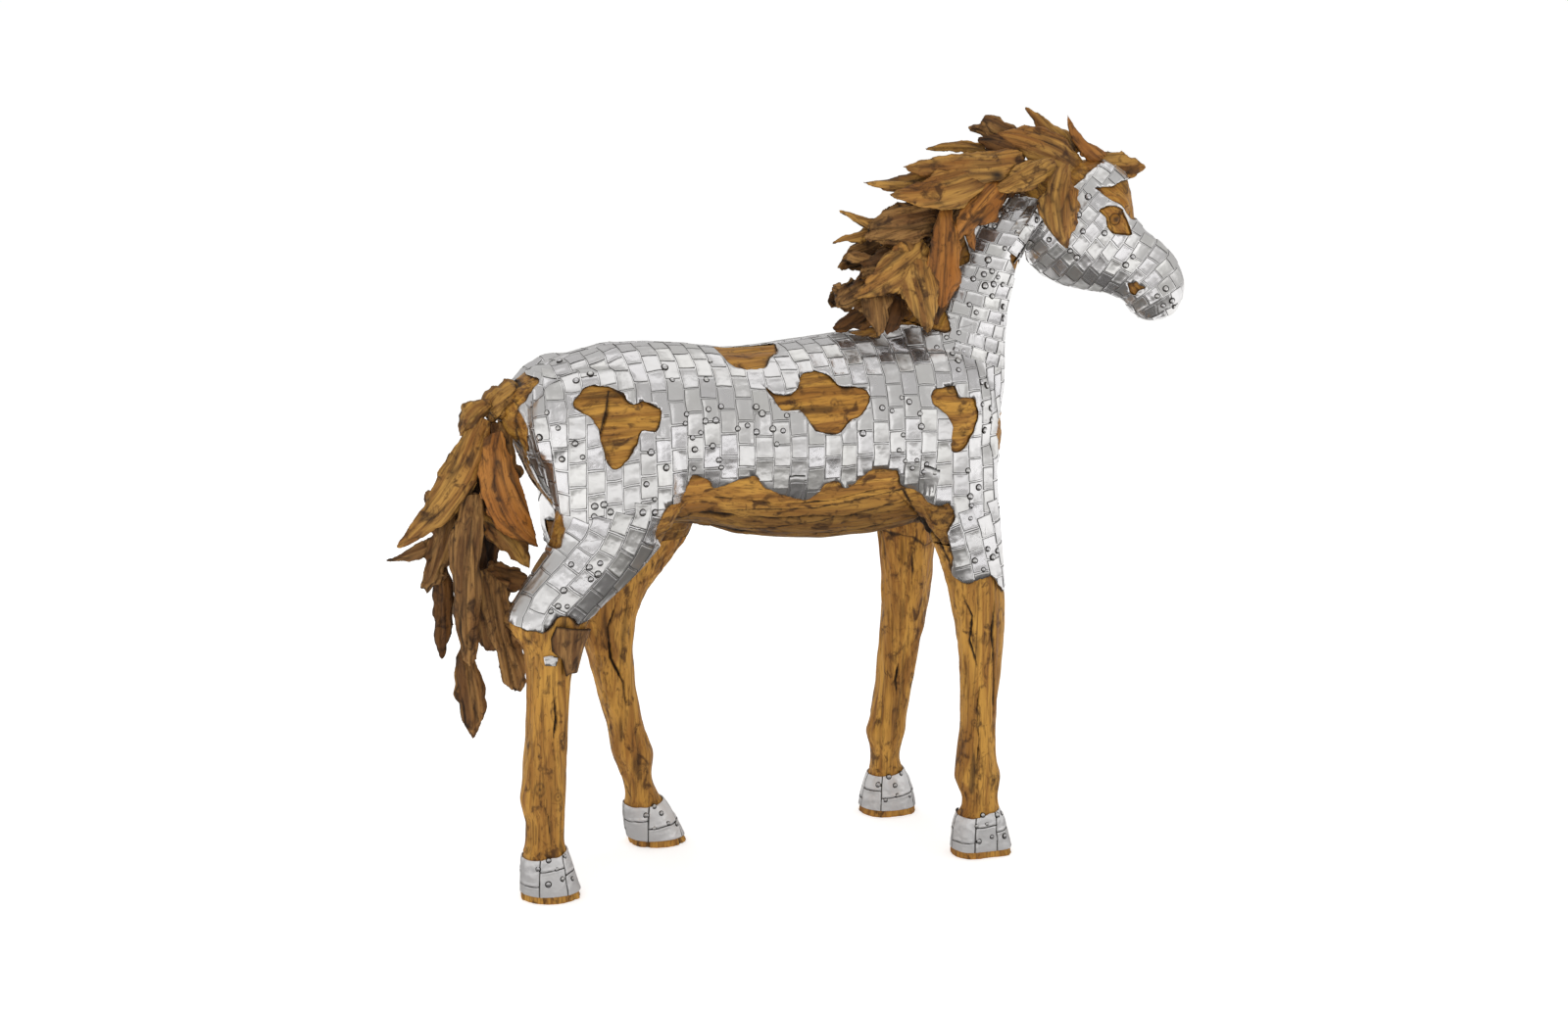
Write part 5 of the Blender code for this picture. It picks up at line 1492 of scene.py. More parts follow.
def make_plate():
    marks = [0.0, 0.036, 0.078, 0.36, 0.64, 0.922, 0.964, 1.0]
    count = len(marks)
    bm = bmesh.new()
    edge = bm.verts.layers.float.new("edge")
    grid = {}
    for i, u in enumerate(marks):
        for j, v in enumerate(marks):
            vert = bm.verts.new((u - 0.5, v - 0.5, plate_height(u, v)))
            rim = min(u, v, 1 - u, 1 - v)
            # The rim and the sides of the pad are painted dark: painted shade in the seam, with some dirt
            vert[edge] = 1.0 if rim == 0 else (0.30 if rim < 0.04 else 0.0)
            grid[i, j] = vert
    for i in range(count - 1):
        for j in range(count - 1):
            bm.faces.new((grid[i, j], grid[i + 1, j], grid[i + 1, j + 1], grid[i, j + 1]))
    around = [(i, 0) for i in range(count)] + [(count - 1, j) for j in range(1, count)]
    around += [(i, count - 1) for i in range(count - 2, -1, -1)] + [(0, j) for j in range(count - 2, 0, -1)]
    low = []
    for key in around:
        top = grid[key]
        vert = bm.verts.new((top.co.x, top.co.y, 0.0006))
        vert[edge] = 1.0
        low.append(vert)
    for k in range(len(around)):
        m = (k + 1) % len(around)
        bm.faces.new((grid[around[m]], grid[around[k]], low[k], low[m]))
    centre = bm.verts.new((0, 0, -0.0012))
    for k in range(len(low)):
        bm.faces.new((low[k], centre, low[(k + 1) % len(low)]))
    return mesh_object("plate", bm)


plate = make_plate()
print("plate:", len(plate.data.polygons), "faces")

# %% One class for geometry trees
class Tree(Formula):
    def __init__(self, name, **kinds):
        super().__init__(bpy.data.node_groups.new(name, "GeometryNodeTree"), None)
        add_socket = self.tree.interface.new_socket
        add_socket("Geometry", in_out="INPUT", socket_type="NodeSocketGeometry")
        for label, kind in kinds.items():
            add_socket(label, in_out="INPUT", socket_type="NodeSocket" + kind)
        add_socket("Geometry", in_out="OUTPUT", socket_type="NodeSocketGeometry")
        self.start = self.tree.nodes.new("NodeGroupInput")

    # A named input of the tree
    def given(self, label):
        return Formula(self.tree, self.start.outputs[label])

    def joined(self, x, y, z):
        return self.node("ShaderNodeCombineXYZ", None, {0: x, 1: y, 2: z})

    # A random number for each point, or for each value of "of"
    def random(self, low, high, seed, of=None):
        inputs = {2: low, 3: high, 8: seed}
        if of is not None:
            inputs[7] = of
        return self.node("FunctionNodeRandomValue", None, inputs, 1)

    def named(self, name, kind="FLOAT"):
        return self.node("GeometryNodeInputNamedAttribute", {"data_type": kind}, {"Name": name})

    def store(self, geometry, name, value, domain, kind="FLOAT"):
        return self.node("GeometryNodeStoreNamedAttribute", {"data_type": kind, "domain": domain},
                         {"Geometry": geometry, "Name": name, "Value": value})

    def end(self, geometry, material):
        real = self.node("GeometryNodeRealizeInstances", None, {0: geometry})
        painted = self.node("GeometryNodeSetMaterial", None, {0: real, "Material": material})
        self.tree.links.new(painted.socket, self.tree.nodes.new("NodeGroupOutput").inputs[0])
        return self.tree


# Runs a tree on an object with its named inputs and returns a plain mesh object
def grow(tree, obj, name, values):
    modifier = obj.modifiers.new(name, "NODES")
    modifier.node_group = tree
    for item in tree.interface.items_tree:
        if item.item_type == "SOCKET" and item.in_out == "INPUT" and item.name in values:
            modifier[item.identifier] = values[item.name]
    made = baked(obj, name)
    obj.modifiers.remove(modifier)
    return made


print("geometry tools ready")

# %% The tree that lays the plates
def course_tree():
    t = Tree("courses_of_plates", Plate="Object", Columns="Int", Rows="Int", Length="Float",
             Width="Float", Start="Vector", Seam="Float", Seed="Int", Material="Material")
    columns, rows, length, width, seam = (t.given(n) for n in ("Columns", "Rows", "Length", "Width", "Seam"))
    span_x = (columns - 1.0) * length
    grid = t.node("GeometryNodeMeshGrid", None, {"Size X": span_x, "Size Y": (rows - 1.0) * width,
                                                 "Vertices X": columns, "Vertices Y": rows})
    place = t.node("GeometryNodeInputPosition")
    spot = t.node("ShaderNodeSeparateXYZ", None, {0: place})
    column = t.math("ROUND", t.math("DIVIDE", spot + span_x * 0.5, length))
    slip = t.random(-0.12, 0.12, t.given("Seed"), column)
    shift = (t.math("MODULO", column, 2.0) * 0.5 + slip) * width
    start = t.vector("ADD", t.joined(0.0, shift, 0.0), t.given("Start"))
    laid = t.node("GeometryNodeSetPosition", None, {"Geometry": grid, "Offset": start})
    pad = t.node("GeometryNodeObjectInfo", {"transform_space": "ORIGINAL"}, {"Object": t.given("Plate")}, 4)
    size_x = length - seam + t.random(-0.0012, 0.0, 11)
    size_y = width - seam + t.random(-0.0020, 0.0, 12)
    scale = t.joined(size_x, size_y, t.random(0.90, 1.02, 13))
    rotation = t.joined(0.0, 0.0, t.random(-0.012, 0.012, 14))
    plates = t.node("GeometryNodeInstanceOnPoints", None,
                    {"Points": laid, "Instance": pad, "Scale": scale, "Rotation": rotation})
    plates = t.store(plates, "tone", t.random(0.0, 1.0, 15), "INSTANCE")
    plates = t.store(plates, "plate", t.node("GeometryNodeInputIndex"), "INSTANCE", "INT")
    real = t.node("GeometryNodeRealizeInstances", None, {0: plates})
    flat = place.stretched(1, 1, 0)
    wave = t.node("ShaderNodeTexNoise", None, {"Vector": flat, "Scale": 20.0, "Detail": 1.5}, 1)
    wave = t.vector("SUBTRACT", wave, (0.5, 0.5, 0.5)).stretched(0.010, 0.010, 0)
    flat = t.vector("ADD", flat, wave)
    pattern = t.named("pattern", "FLOAT_VECTOR")

    def sampled(value, out=0):
        return t.node("GeometryNodeSampleUVSurface", {"data_type": "FLOAT_VECTOR"},
                      {"Mesh": t.given("Geometry"), "Value": value, "UV Map": pattern,
                       "Sample UV": flat}, out)

    lost = t.math("SUBTRACT", 1.0, sampled(place, 1))
    group = t.named("plate", "INT")
    total = t.node("GeometryNodeAccumulateField", None, {"Value": lost, "Group ID": group}, 2)
    height = t.node("ShaderNodeSeparateXYZ", None, {0: place}, 2)
    real = t.store(t.store(real, "lost", total, "POINT"), "rise", height, "POINT")
    normal = sampled(t.node("GeometryNodeInputNormal"))
    rise = t.node("ShaderNodeVectorMath", {"operation": "SCALE"}, {0: normal, "Scale": height})
    wrapped = t.node("GeometryNodeSetPosition", None,
                     {"Geometry": real, "Position": t.vector("ADD", sampled(place), rise)})
    gone = t.math("GREATER_THAN", t.named("lost"), 0.5)
    kept = t.node("GeometryNodeDeleteGeometry", None, {"Geometry": wrapped, "Selection": gone})
    return t.end(kept, t.given("Material"))


courses = course_tree()
print("course tree:", len(courses.nodes), "nodes")

# %% [markdown]
# The plates of each region are cut to the outlines of the metal. The prisms that open the patches
# and trim the hems are the same as in the CAD source, so wood and metal meet where they should.
# Beneath the plates lies one thin sheet, which shows in the seams and where no plate fits.

# %% Trim metal to its outlines
# A plane seen from the front or from behind
def facing_us(y, x, z):
    return at(x, y, z)


def trim_body(piece):
    piece = take_away(
        piece,
        prism(below_hem(HEM_RIGHT), at, -REACH, HALF_GAP),
        prism(below_hem(HEM_LEFT), at, -HALF_GAP, REACH),
        prism(CLEFT, facing_us, *CLEFT_ENDS),
        prism(BREAST, facing_us, *BREAST_ENDS),
        prism(MANE_ZONE, at, -REACH, REACH))
    for back, front, half, top in INNER_ROOMS:
        piece = take_away(piece, box((back, -half, -REACH), (front, half, top)))
    for outline in PATCHES_RIGHT.values():
        piece = take_away(piece, prism(outline, at, -REACH, SPINE_KEPT))
    for outline in PATCHES_LEFT.values():
        piece = take_away(piece, prism(outline, at, SPINE_KEPT, REACH))
    return piece


def trim_head(piece):
    return take_away(
        piece,
        prism(POLL_ZONE, in_head, -REACH, REACH),
        prism(EYE, in_head, -REACH, -SPINE_KEPT),
        prism(EYE, in_head, SPINE_KEPT, REACH),
        prism(BLAZE, in_head, -REACH, REACH),
        prism(NOSTRIL, in_head, -REACH, -MUZZLE_KEPT),
        prism(NOSTRIL, in_head, MUZZLE_KEPT, REACH))


# Levels where the courses of the legs take over from those of the torso
HIND_COURSES = 0.690
FORE_COURSES = 0.655


def plates_over(name, length, width, seed):
    form = forms[name]
    along, low, high = form["size"]
    if name in LEGS:
        span_x, span_y = high - low, along
        start = ((low + high) / 2, along / 2, 0)
    else:
        span_x, span_y = along, high - low
        start = (along / 2, (low + high) / 2, 0)
    columns = int(span_x / length) + 1
    rows = int(span_y / width) + 1
    return grow(courses, form, "plates_" + name, {
        "Plate": plate, "Columns": columns, "Rows": rows, "Length": length, "Width": width,
        "Start": start, "Seam": 0.0020, "Seed": seed, "Material": plate_metal})


# Smooth normals of the blank at its vertices, to stand things square on its skin
blank_normals = normals_of(blank)
blank_points = points_of(blank)
blank_faces = [tuple(p.vertices) for p in blank.data.polygons]


# The nearest point of the blank's skin and the way out from it
def skin_at(point):
    place, _, face, _ = blank_tree.find_nearest(point)
    corners = list(blank_faces[face])
    weights = 1 / (np.sum((blank_points[corners] - np.array(place)) ** 2, axis=1) + 1e-9)
    normal = (blank_normals[corners] * weights[:, None]).sum(axis=0)
    return np.array(place), normal / np.linalg.norm(normal)


# Places where the sheet is badly creased: middle x and z, and radius
CREASES = [(-0.262, 0.800, 0.050), (-0.120, 0.790, 0.050), (0.730, 1.030, 0.040),
           (-0.500, 0.560, 0.040), (0.230, 0.700, 0.040)]


def creasing(shares):
    found = np.zeros(len(shares))
    for x, z, radius in CREASES:
        away = np.hypot(shares[:, 0] - x, shares[:, 2] - z) / radius
        found = np.maximum(found, bell(away))
    return found


# Dents of the hammer: soft waves all over, sharp folds where the sheet is creased or ends
def dents_at(points, amount=1.0):
    creased = creasing(to_shares(points))
    _, edge = bare_wood(points)
    torn = bell(edge * WITHERS, 0.012)
    soft = noise_over(points, (13, 13, 13), 3.0) * 0.9 + noise_over(points, (34, 34, 34), 5.0) * 0.6
    folds = 0.5 - np.abs(noise_over(points, (42, 42, 42), 9.0)) * 2.4
    fine = noise_over(points, (95, 95, 95), 1.0)
    rough = np.clip(creased + torn * 0.8, 0, 1.2)
    return 0.0010 * amount * soft + rough * (0.0008 * folds + 0.0004 * fine)


def seat_line(x):
    (x0, z0), (x1, z1) = NECK_SEAT
    return z0 + (x - x0) * (z1 - z0) / (x1 - x0)


# How far inside its region each point lies, in shares; where two regions meet their plates overlap
def depth_inside(kind, s, h):
    x, y, z = s.T
    ragged = 0.010 * noise_over(s, (9, 9, 9), 6.0)
    if kind == "torso":
        low = np.where(x < MIDRIFF, HIND_COURSES + 0.10 * (x + 0.42), FORE_COURSES)
        return np.minimum(z - low, seat_line(x) - z) + ragged
    if kind == "neck":
        return np.minimum(z - seat_line(x), THROAT_CUT - h[:, 0]) + ragged
    if kind == "head":
        return h[:, 0] - THROAT_CUT
    high = HIND_COURSES + 0.10 * (x + 0.42) if kind == "hind" else FORE_COURSES
    return high - z + ragged


# Plates by region: size along the course and around it, how dented they are, and how they overlap
COURSES = {"torso": (0.043, 0.057, 1.0, 0.0), "neck": (0.034, 0.050, 1.2, 0.0010),
           "head": (0.035, 0.041, 0.9, 0.0014), "hind": (0.045, 0.058, 1.0, 0.0012),
           "fore": (0.042, 0.056, 1.0, 0.0012)}


# Plates lap over their neighbours this near to the end of their region, in shares
LAP_DEPTH = 0.015
# A plate smaller than this share of the middle one was squeezed
WHOLE_PLATE = 0.62
# Loose scraps smaller than these areas, in square metres, are dropped
PLATE_SCRAP = 0.0014
SKIN_SCRAP = 0.004


# Seats every plate on the blank itself, dented, and lifts it where it laps over its neighbours
def seat_plates(obj, kind):
    amount, lap = COURSES[kind][2:]
    rises = np.empty(len(obj.data.vertices))
    obj.data.attributes["rise"].data.foreach_get("value", rises)
    seats = [skin_at(Vector(point)) for point in points_of(obj)]
    places = np.array([place for place, _ in seats])
    normals = np.array([normal for _, normal in seats])
    dents = np.where(rises > 0.0012, np.clip(dents_at(places, amount), -0.0014, 0.0024), 0)
    near = 1 - unit((depth_inside(kind, to_shares(places), to_head(places)) - LAP_DEPTH) / LAP_DEPTH)
    move_points(obj, places + normals * (rises + dents + lap * near)[:, None])


def plate_numbers(piece):
    ids = np.empty(len(piece.data.vertices), np.int32)
    piece.data.attributes["plate"].data.foreach_get("value", ids)
    return ids


def delete_points(piece, chosen):
    bm = bmesh.new()
    bm.from_mesh(piece.data)
    bm.verts.ensure_lookup_table()
    bmesh.ops.delete(bm, geom=[v for v in bm.verts if chosen[v.index]], context="VERTS")
    bmesh.ops.recalc_face_normals(bm, faces=bm.faces)
    bm.to_mesh(piece.data)
    bm.free()


# Keeps the plates whose middle lies in the region, that aren't wholly over bare wood and that
# weren't squeezed where the courses run together
def keep_region(piece, name):
    kind, word = name.split("_")
    points = points_of(piece)
    bare, edge = bare_wood(points)
    ids = plate_numbers(piece)
    count = np.maximum(np.bincount(ids), 1)
    middles = np.stack([np.bincount(ids, points[:, k]) / count for k in range(3)], axis=1)
    covered = np.bincount(ids, ~(bare & (edge > 0.001))) > 0
    flank = (to_head if kind == "head" else to_shares)(middles)[:, 1] * (-1 if word == "right" else 1)
    deep = depth_inside(kind, to_shares(middles), to_head(middles))
    areas = np.bincount([ids[p.vertices[0]] for p in piece.data.polygons],
                        [p.area for p in piece.data.polygons], len(count))
    whole = areas > WHOLE_PLATE * np.median(areas[areas > 0])
    delete_points(piece, ~(covered & whole & (deep > -0.010) & (flank > -0.02))[ids])


# Drops loose scraps of metal smaller than a given area
def drop_crumbs(piece, least):
    bm = bmesh.new()
    bm.from_mesh(piece.data)
    seen = set()
    gone = []
    for vert in bm.verts:
        if vert.index in seen:
            continue
        seen.add(vert.index)
        stack = [vert]
        part = []
        while stack:
            here = stack.pop()
            part.append(here)
            for link in here.link_edges:
                other = link.other_vert(here)
                if other.index not in seen:
                    seen.add(other.index)
                    stack.append(other)
        if sum(face.calc_area() for face in {f for v in part for f in v.link_faces}) < least:
            gone += part
    bmesh.ops.delete(bm, geom=gone, context="VERTS")
    bm.to_mesh(piece.data)
    bm.free()


# One half of the horse, right or left of its middle plane
def half_room(word, place):
    low, high = (-REACH, 0) if word == "right" else (0, REACH)
    return prism([(-REACH, -REACH), (REACH, -REACH), (REACH, REACH), (-REACH, REACH)], place, low, high)


for number, name in enumerate(forms):
    kind, word = name.split("_")
    length, width = COURSES[kind][:2]
    made = plates_over(name, length, width, 20 + number)
    keep_region(made, name)
    seat_plates(made, kind)
    count = len(made.data.polygons)
    if kind not in ("hind", "fore"):
        made = kept_in(made, half_room(word, in_head if kind == "head" else at))
    made = trim_head(made) if kind == "head" else trim_body(made)
    drop_crumbs(made, PLATE_SCRAP)
    made.name = "plates_" + name
    smooth_shaded(made, plate_metal)
    pieces["plates_" + name] = made
    print("plates", name, count, "faces before the cut,", len(made.data.polygons), "after")

# %% The thin sheet beneath
def grown(source, distance):
    made = source.copy()
    made.data = source.data.copy()
    bpy.context.scene.collection.objects.link(made)
    points = points_of(source) + normals_of(source) * np.asarray(distance).reshape(-1, 1)
    move_points(made, points)
    return made


# The shell between two distances from the skin of a piece
def shell_of(source, outer, inner):
    return replace_boolean(grown(source, outer), grown(source, inner), "DIFFERENCE")


def as_metal(made, name, material, tone=0.5, edge=0.0):
    made.name = name
    still = np.zeros(len(made.data.vertices))
    set_attribute(made, "tone", still + tone)
    set_attribute(made, "edge", still + edge)
    smooth_shaded(made, material)


fewer = blank.modifiers.new("fewer", "DECIMATE")
fewer.ratio = 0.42
skin_blank = baked(blank, "skin_blank")
blank.modifiers.remove(fewer)
outer = np.clip(0.0015 + 0.8 * dents_at(points_of(skin_blank)), 0.0009, 0.0038)
shell = shell_of(skin_blank, outer, 0.0004)
behind = behind_throat()
ahead = ahead_of_throat()
skin = {"body": trim_body(boolean(shell, behind, "INTERSECT")),
        "head": trim_head(boolean(shell, ahead, "INTERSECT"))}
discard(behind, ahead, shell)
for name, made in skin.items():
    drop_crumbs(made, SKIN_SCRAP)
    as_metal(made, "skin_" + name, plate_metal)
    pieces["skin_" + name] = made
    print("skin", name, len(made.data.polygons), "faces")

# %% [markdown]
# Each hoof is shod in sheet with a ragged top edge. It is a patchwork of panels with a raised bead on
# both sides of every seam. The shell is cut from the blank again, its outer skin is lifted where the
# beads are, and the seams are painted dark: painted shade with some dirt.

# %% Hoof sheets
# Upright seams by angle round the hoof, and the level of the cross seam between each two
UPRIGHTS = [-2.55, -1.62, -0.62, 0.34, 1.28, 2.30]
LEVELS = [0.040, 0.056, 0.036, 0.062, 0.048, 0.042]


# Raised beads along the seams of a hoof's patchwork, and the seams painted dark: painted shade, dirt
def hoof_seams(points, leg):
    sole = LEGS[leg][-2]
    shares = to_shares(points) + 0.0016 * noise_over(points, (34, 34, 34), 4.0)[:, None]
    outer_side = -1 if leg.endswith("right") else 1
    dx = shares[:, 0] - (sole[1] + sole[2]) / 2
    dy = (shares[:, 1] - sole[3]) * outer_side
    angle = np.arctan2(dx, dy)
    radius = np.hypot(dx, dy)
    gap = np.full(len(points), 9.0)
    for upright in UPRIGHTS:
        turn = np.abs((angle - upright + math.pi) % (2 * math.pi) - math.pi)
        gap = np.minimum(gap, turn * radius)
    sector = np.searchsorted(UPRIGHTS, angle) % len(UPRIGHTS)
    level = np.array(LEVELS)[sector] + 0.10 * dx
    gap = np.minimum(gap, np.abs(shares[:, 2] - level)) * WITHERS
    return bell(gap - 0.0042, 0.0022) - 0.6 * bell(gap, 0.0016), bell(gap, 0.0019)


for leg, stations in LEGS.items():
    sole = stations[-2]
    back = sole[1] - HOOF_ROOM[0]
    front = sole[2] + HOOF_ROOM[0]
    back_top, wave_height, front_top = HOOF_TOP
    outline = [(back, SOLE_SHOWN / WITHERS), (front, SOLE_SHOWN / WITHERS)]
    steps = 34
    for i in range(steps + 1):
        t = i / steps
        height = front_top + (back_top - front_top) * t + wave_height * math.sin(2.2 * math.pi * t)
        height += 0.0030 * noise.noise((t * 9.0, sole[1] * 20, 0.5))
        height += 0.0016 * noise.noise((t * 25.0, sole[1] * 20, 2.5))
        outline.append((front + (back - front) * t, height))
    room = prism(outline, at, sole[3] - HOOF_ROOM[1], sole[3] + HOOF_ROOM[1])
    bounds = box((back, sole[3] - HOOF_ROOM[1], 0.003), (front, sole[3] + HOOF_ROOM[1], 0.12))
    near = boolean(blank, bounds, "INTERSECT")
    discard(bounds)
    refine(near, np.ones(len(near.data.vertices), bool))
    points = points_of(near)
    bulge = 0.0026 + 0.0013 * hoof_seams(points, leg)[0] + 0.0010 * noise_over(points, (26, 26, 26), 1.0)
    bulge = np.clip(bulge + 0.0008 * noise_over(points, (70, 70, 70), 2.0), 0.0009, 0.0048)
    hoof = replace_boolean(shell_of(near, bulge, 0.0004), room, "INTERSECT")
    discard(near)
    # The seams are painted dark: painted shade with some dirt
    as_metal(hoof, "hoof_" + leg, hoof_metal, 0.4, hoof_seams(points_of(hoof), leg)[1])
    pieces["hoof_" + leg] = hoof
print("hooves shod")

# %% [markdown]
# Round-headed rivets hold the sheet down, most of them in loose clusters where the metal bends or
# ends. Their places are drawn at random inside each cluster, on the skin of the blank. A small
# Geometry Nodes tree then stands one dome on each place, square to the skin.

# %% One rivet and the tree that sets it
def make_rivet(segments=10):
    profile = [(1.34, -0.5), (1.30, -0.02), (1.02, 0.03), (0.84, 0.32), (0.48, 0.55), (0.0, 0.62)]
    bm = bmesh.new()
    edge = bm.verts.layers.float.new("edge")
    rings = []
    for radius, height in profile[:-1]:
        ring = []
        for k in range(segments):
            angle = 2 * math.pi * k / segments
            vert = bm.verts.new((radius * math.cos(angle), radius * math.sin(angle), height))
            # The foot of the rivet is painted dark: painted shade round it, with some dirt
            vert[edge] = 1.0 if height < 0.1 else 0.1
            ring.append(vert)
        rings.append(ring)
    top = bm.verts.new((0, 0, profile[-1][1]))
    for first, second in zip(rings, rings[1:]):
        for k in range(segments):
            m = (k + 1) % segments
            bm.faces.new((first[k], first[m], second[m], second[k]))
    for k in range(segments):
        bm.faces.new((rings[-1][k], rings[-1][(k + 1) % segments], top))
    bm.faces.new(list(reversed(rings[0])))
    return mesh_object("rivet", bm)


def rivet_tree():
    t = Tree("rivets_on_points", Rivet="Object", Radius="Float", Seed="Int", Material="Material")
    points = t.node("GeometryNodeMeshToPoints", None, {0: t.given("Geometry")})
    out = t.named("facing", "FLOAT_VECTOR")
    stand = t.node("FunctionNodeAlignRotationToVector", {"axis": "Z"}, {"Vector": out})
    dome = t.node("GeometryNodeObjectInfo", {"transform_space": "ORIGINAL"}, {"Object": t.given("Rivet")}, 4)
    radius = t.named("size") * t.given("Radius")
    scale = t.joined(radius, radius, radius)
    heads = t.node("GeometryNodeInstanceOnPoints", None,
                   {"Points": points, "Instance": dome, "Rotation": stand, "Scale": scale})
    heads = t.store(heads, "tone", t.random(0.0, 1.0, t.given("Seed")), "INSTANCE")
    return t.end(heads, t.given("Material"))


rivet = make_rivet()
riveting = rivet_tree()
print("rivet:", len(rivet.data.polygons), "faces")

# %% Set the rivets
# Clusters on the right, in thousandths: middle x and z, half spread in x and z; then how many
CLUSTERS = [
    (-513, 862, 18, 40, 9), (-474, 842, 26, 34, 6), (-380, 724, 62, 16, 11), (-455, 612, 34, 20, 6),
    (-500, 560, 30, 20, 5), (-180, 862, 96, 34, 20), (-225, 800, 30, 30, 7), (-95, 845, 26, 28, 5),
    (100, 868, 40, 60, 6), (165, 820, 26, 72, 13), (196, 752, 30, 20, 6), (262, 975, 40, 50, 18),
    (318, 860, 24, 70, 8), (300, 700, 34, 50, 5), (310, 580, 36, 30, 6), (-420, 960, 60, 20, 6),
    (-240, 945, 50, 20, 4), (330, 1090, 30, 70, 14), (372, 1050, 30, 60, 9), (385, 1180, 30, 40, 6),
    (-330, 790, 40, 30, 4),
]
# Clusters on the head, in its own plane
HEAD_CLUSTERS = [
    (10, 1150, 40, 34, 7), (60, 1190, 30, 24, 4), (205, 1050, 22, 26, 7), (150, 1120, 30, 26, 4),
    (60, 1240, 12, 10, 2), (-40, 1190, 20, 30, 4),
]


# Where a nail driven from one place towards another meets the blank
def struck(start, goal):
    hit = blank_tree.ray_cast(start, goal - start)[0]
    return [] if hit is None else [np.array(hit)]


# Throws a place sideways at the blank and keeps it where metal lies around it
def rivet_places():
    places = []
    for clusters, place_in, in_head_plane in ((CLUSTERS, at, False), (HEAD_CLUSTERS, in_head, True)):
        for *spread, count in clusters:
            cx, cz, rx, rz = milli(spread)
            for side in (-1, 1):
                if side == 1 and not in_head_plane:
                    cx, cz = cx + 0.012, cz - 0.010
                for _ in range(count if side == -1 else max(2, count * 2 // 3)):
                    a, b = rng.uniform(-1, 1, 2)
                    x, z = cx + a * rx, cz + b * rz
                    places += struck(place_in(x, side * 0.5, z), place_in(x, 0, z))
    places = np.array(places)
    bare, edge = bare_wood(places)
    return places[~bare & (edge * WITHERS > 0.009)]


def apart(places, gap):
    kept = []
    for place in places:
        if all(np.linalg.norm(place - other) > gap for other in kept):
            kept.append(place)
    return kept


def points_object(name, places, rise, spread):
    seats = [skin_at(Vector(place)) for place in places]
    mesh = bpy.data.meshes.new(name)
    mesh.from_pydata([place + normal * rise for place, normal in seats], [], [])
    obj = add_object(name, mesh)
    set_attribute(obj, "facing", np.array([normal for _, normal in seats]), "FLOAT_VECTOR")
    set_attribute(obj, "size", rng.uniform(1 - spread, 1 + spread, len(seats)))
    return obj


hoof_places = []
for leg, stations in LEGS.items():
    sole = stations[-2]
    middle = (sole[1] + sole[2]) / 2
    outer_side = -1 if leg.endswith("right") else 1
    for x, z in ((-0.014, 0.083), (-0.004, 0.066), (0.014, 0.082), (0.006, 0.043), (-0.030, 0.064),
                 (-0.020, 0.038), (0.034, 0.080), (0.030, 0.040)):
        for facing in (outer_side, -outer_side):
            spot = (middle + x + rng.uniform(-0.004, 0.004), z + rng.uniform(-0.004, 0.002))
            outside = at(spot[0], sole[3] + facing * 0.2, spot[1])
            hoof_places += struck(outside, at(spot[0], sole[3], spot[1]))

for name, places, rise, radius in (("rivets_body", apart(rivet_places(), 0.020), 0.0036, 0.0062),
                                   ("rivets_hooves", hoof_places, 0.0030, 0.0058)):
    spots = points_object(name + "_spots", places, rise, 0.2)
    made = grow(riveting, spots, name,
                {"Rivet": rivet, "Radius": radius, "Seed": 3, "Material": rivet_metal})
    discard(spots)
    smooth_shaded(made, rivet_metal)
    pieces[name] = made
    print(name, len(places), "rivets,", len(made.data.polygons), "faces")
discard(rivet)

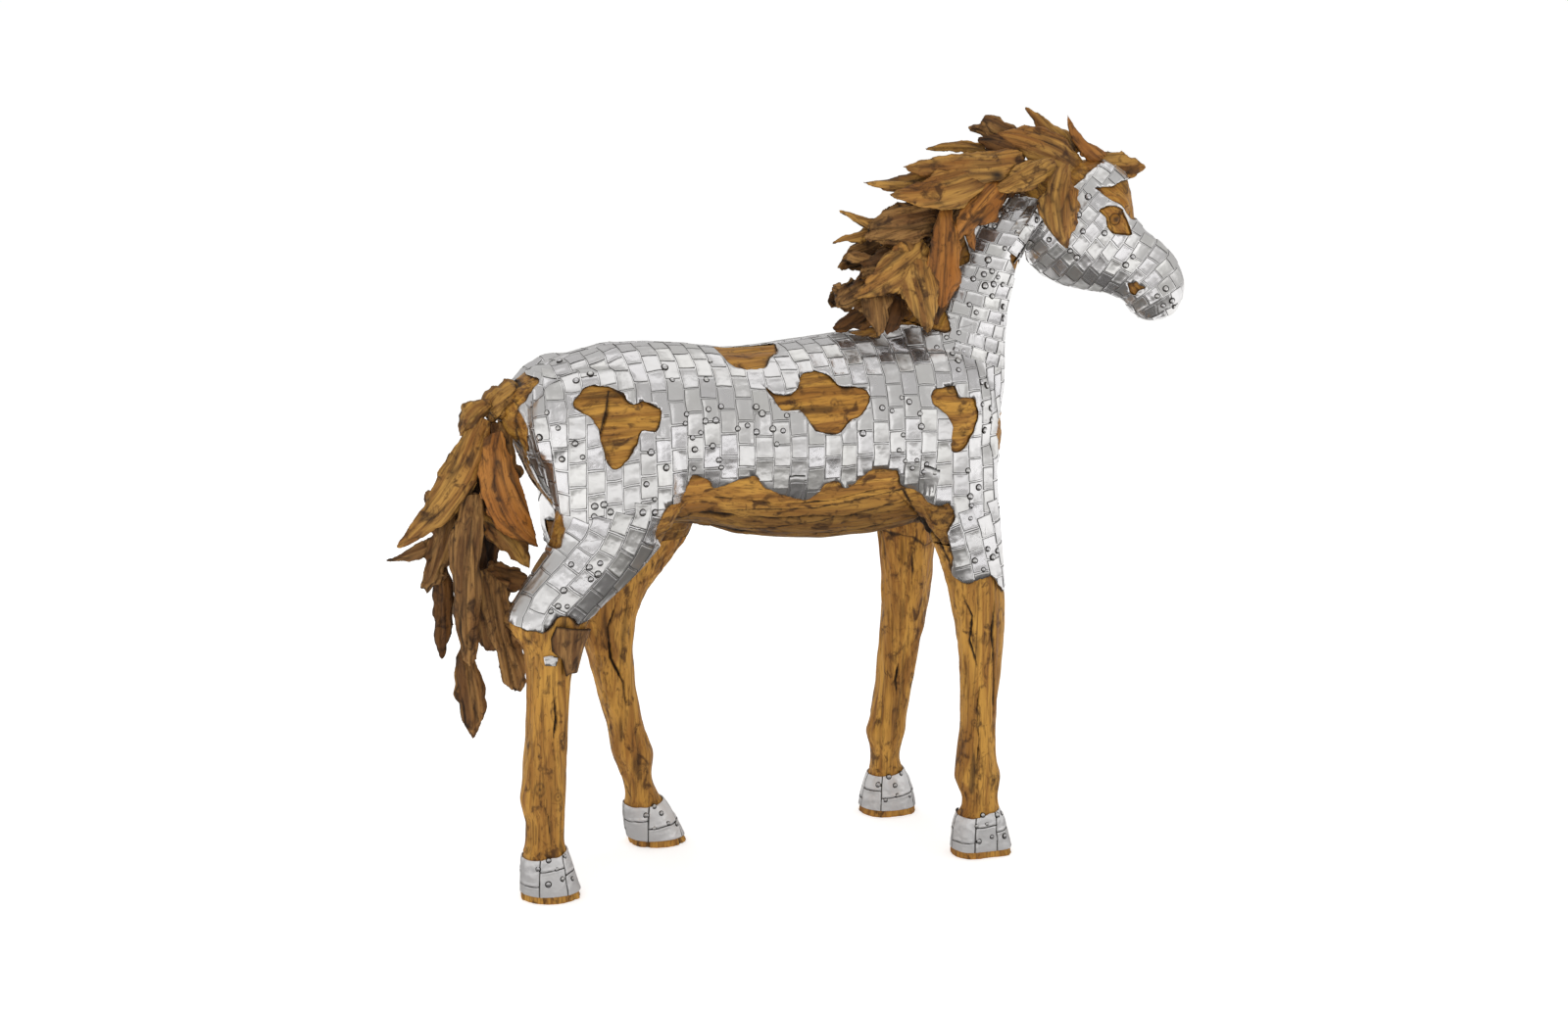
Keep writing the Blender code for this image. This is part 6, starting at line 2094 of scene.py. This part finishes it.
# %% [markdown]
# The slab on the hock is a flat offcut laid over the joint, and the small tab is a square of sheet
# nailed to its edge. Both are cut from shells of the blank, a step higher than the leg.

# %% The hock slab and its tab
def overlay(name, outline, inner, outer_distance, material):
    room = prism(outline, at, -REACH, HOCK_INNER)
    xs = [p[0] for p in outline]
    zs = [p[1] for p in outline]
    bounds = box((min(xs) - 0.03, -0.25, min(zs) - 0.03), (max(xs) + 0.03, -0.05, max(zs) + 0.03))
    near = boolean(blank, bounds, "INTERSECT")
    discard(bounds)
    made = replace_boolean(shell_of(near, outer_distance, inner), room, "INTERSECT")
    discard(near)
    as_metal(made, name, material)
    grain = grain_of(points_of(made), GRAIN["leg"])
    shares = to_shares(points_of(made))
    rim = distance_to(outline, shares[:, 0], shares[:, 2]) * WITHERS
    soot = unit(-noise_over(grain, (9, 60, 60), 2.0) * 2.4 - 0.3) * 0.6
    set_attribute(made, "grain", grain, "FLOAT_VECTOR")
    set_attribute(made, "soot", np.maximum(soot, 0.7 * bell(rim, 0.004)))
    return made


pieces["hock_slab"] = overlay("carved_hock_slab", HOCK_SLAB, 0.0035, 0.0125, bark_wood)
pieces["hock_tab"] = overlay("pinned_hock_tab", HOCK_TAB, 0.0005, 0.0035, plate_metal)
print("hock slab and tab made")

# %% [markdown]
# Last, each finished piece is tied to the CAD: it rides on the one body, and the CAD node it was made
# for is hidden. The helpers that shaped the pieces are removed.

# %% Tie the pieces to the CAD
discard(blank, skin_blank, plate, *forms.values())

for key, piece in pieces.items():
    node = key
    if key.startswith("hoof_"):
        node = "sheet_" + key
    elif key.startswith(("plates_head", "skin_head")):
        node = "sheet_head"
    elif key.startswith(("plates", "skin", "rivets")):
        node = "sheet_body"
    slot = "body_wood"
    if key.startswith(("mane", "tail")):
        slot = key[:4] + "_wood"
    elif key.startswith(("plates", "skin", "hoof", "hock_tab", "rivets")):
        slot = "sheet_metal"
    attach(piece, "root")
    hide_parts(node)
triangles = {piece.name: triangles_in(piece) for piece in pieces.values()}
print("triangles:", sum(triangles.values()), "largest", max(triangles.items(), key=lambda item: item[1]))
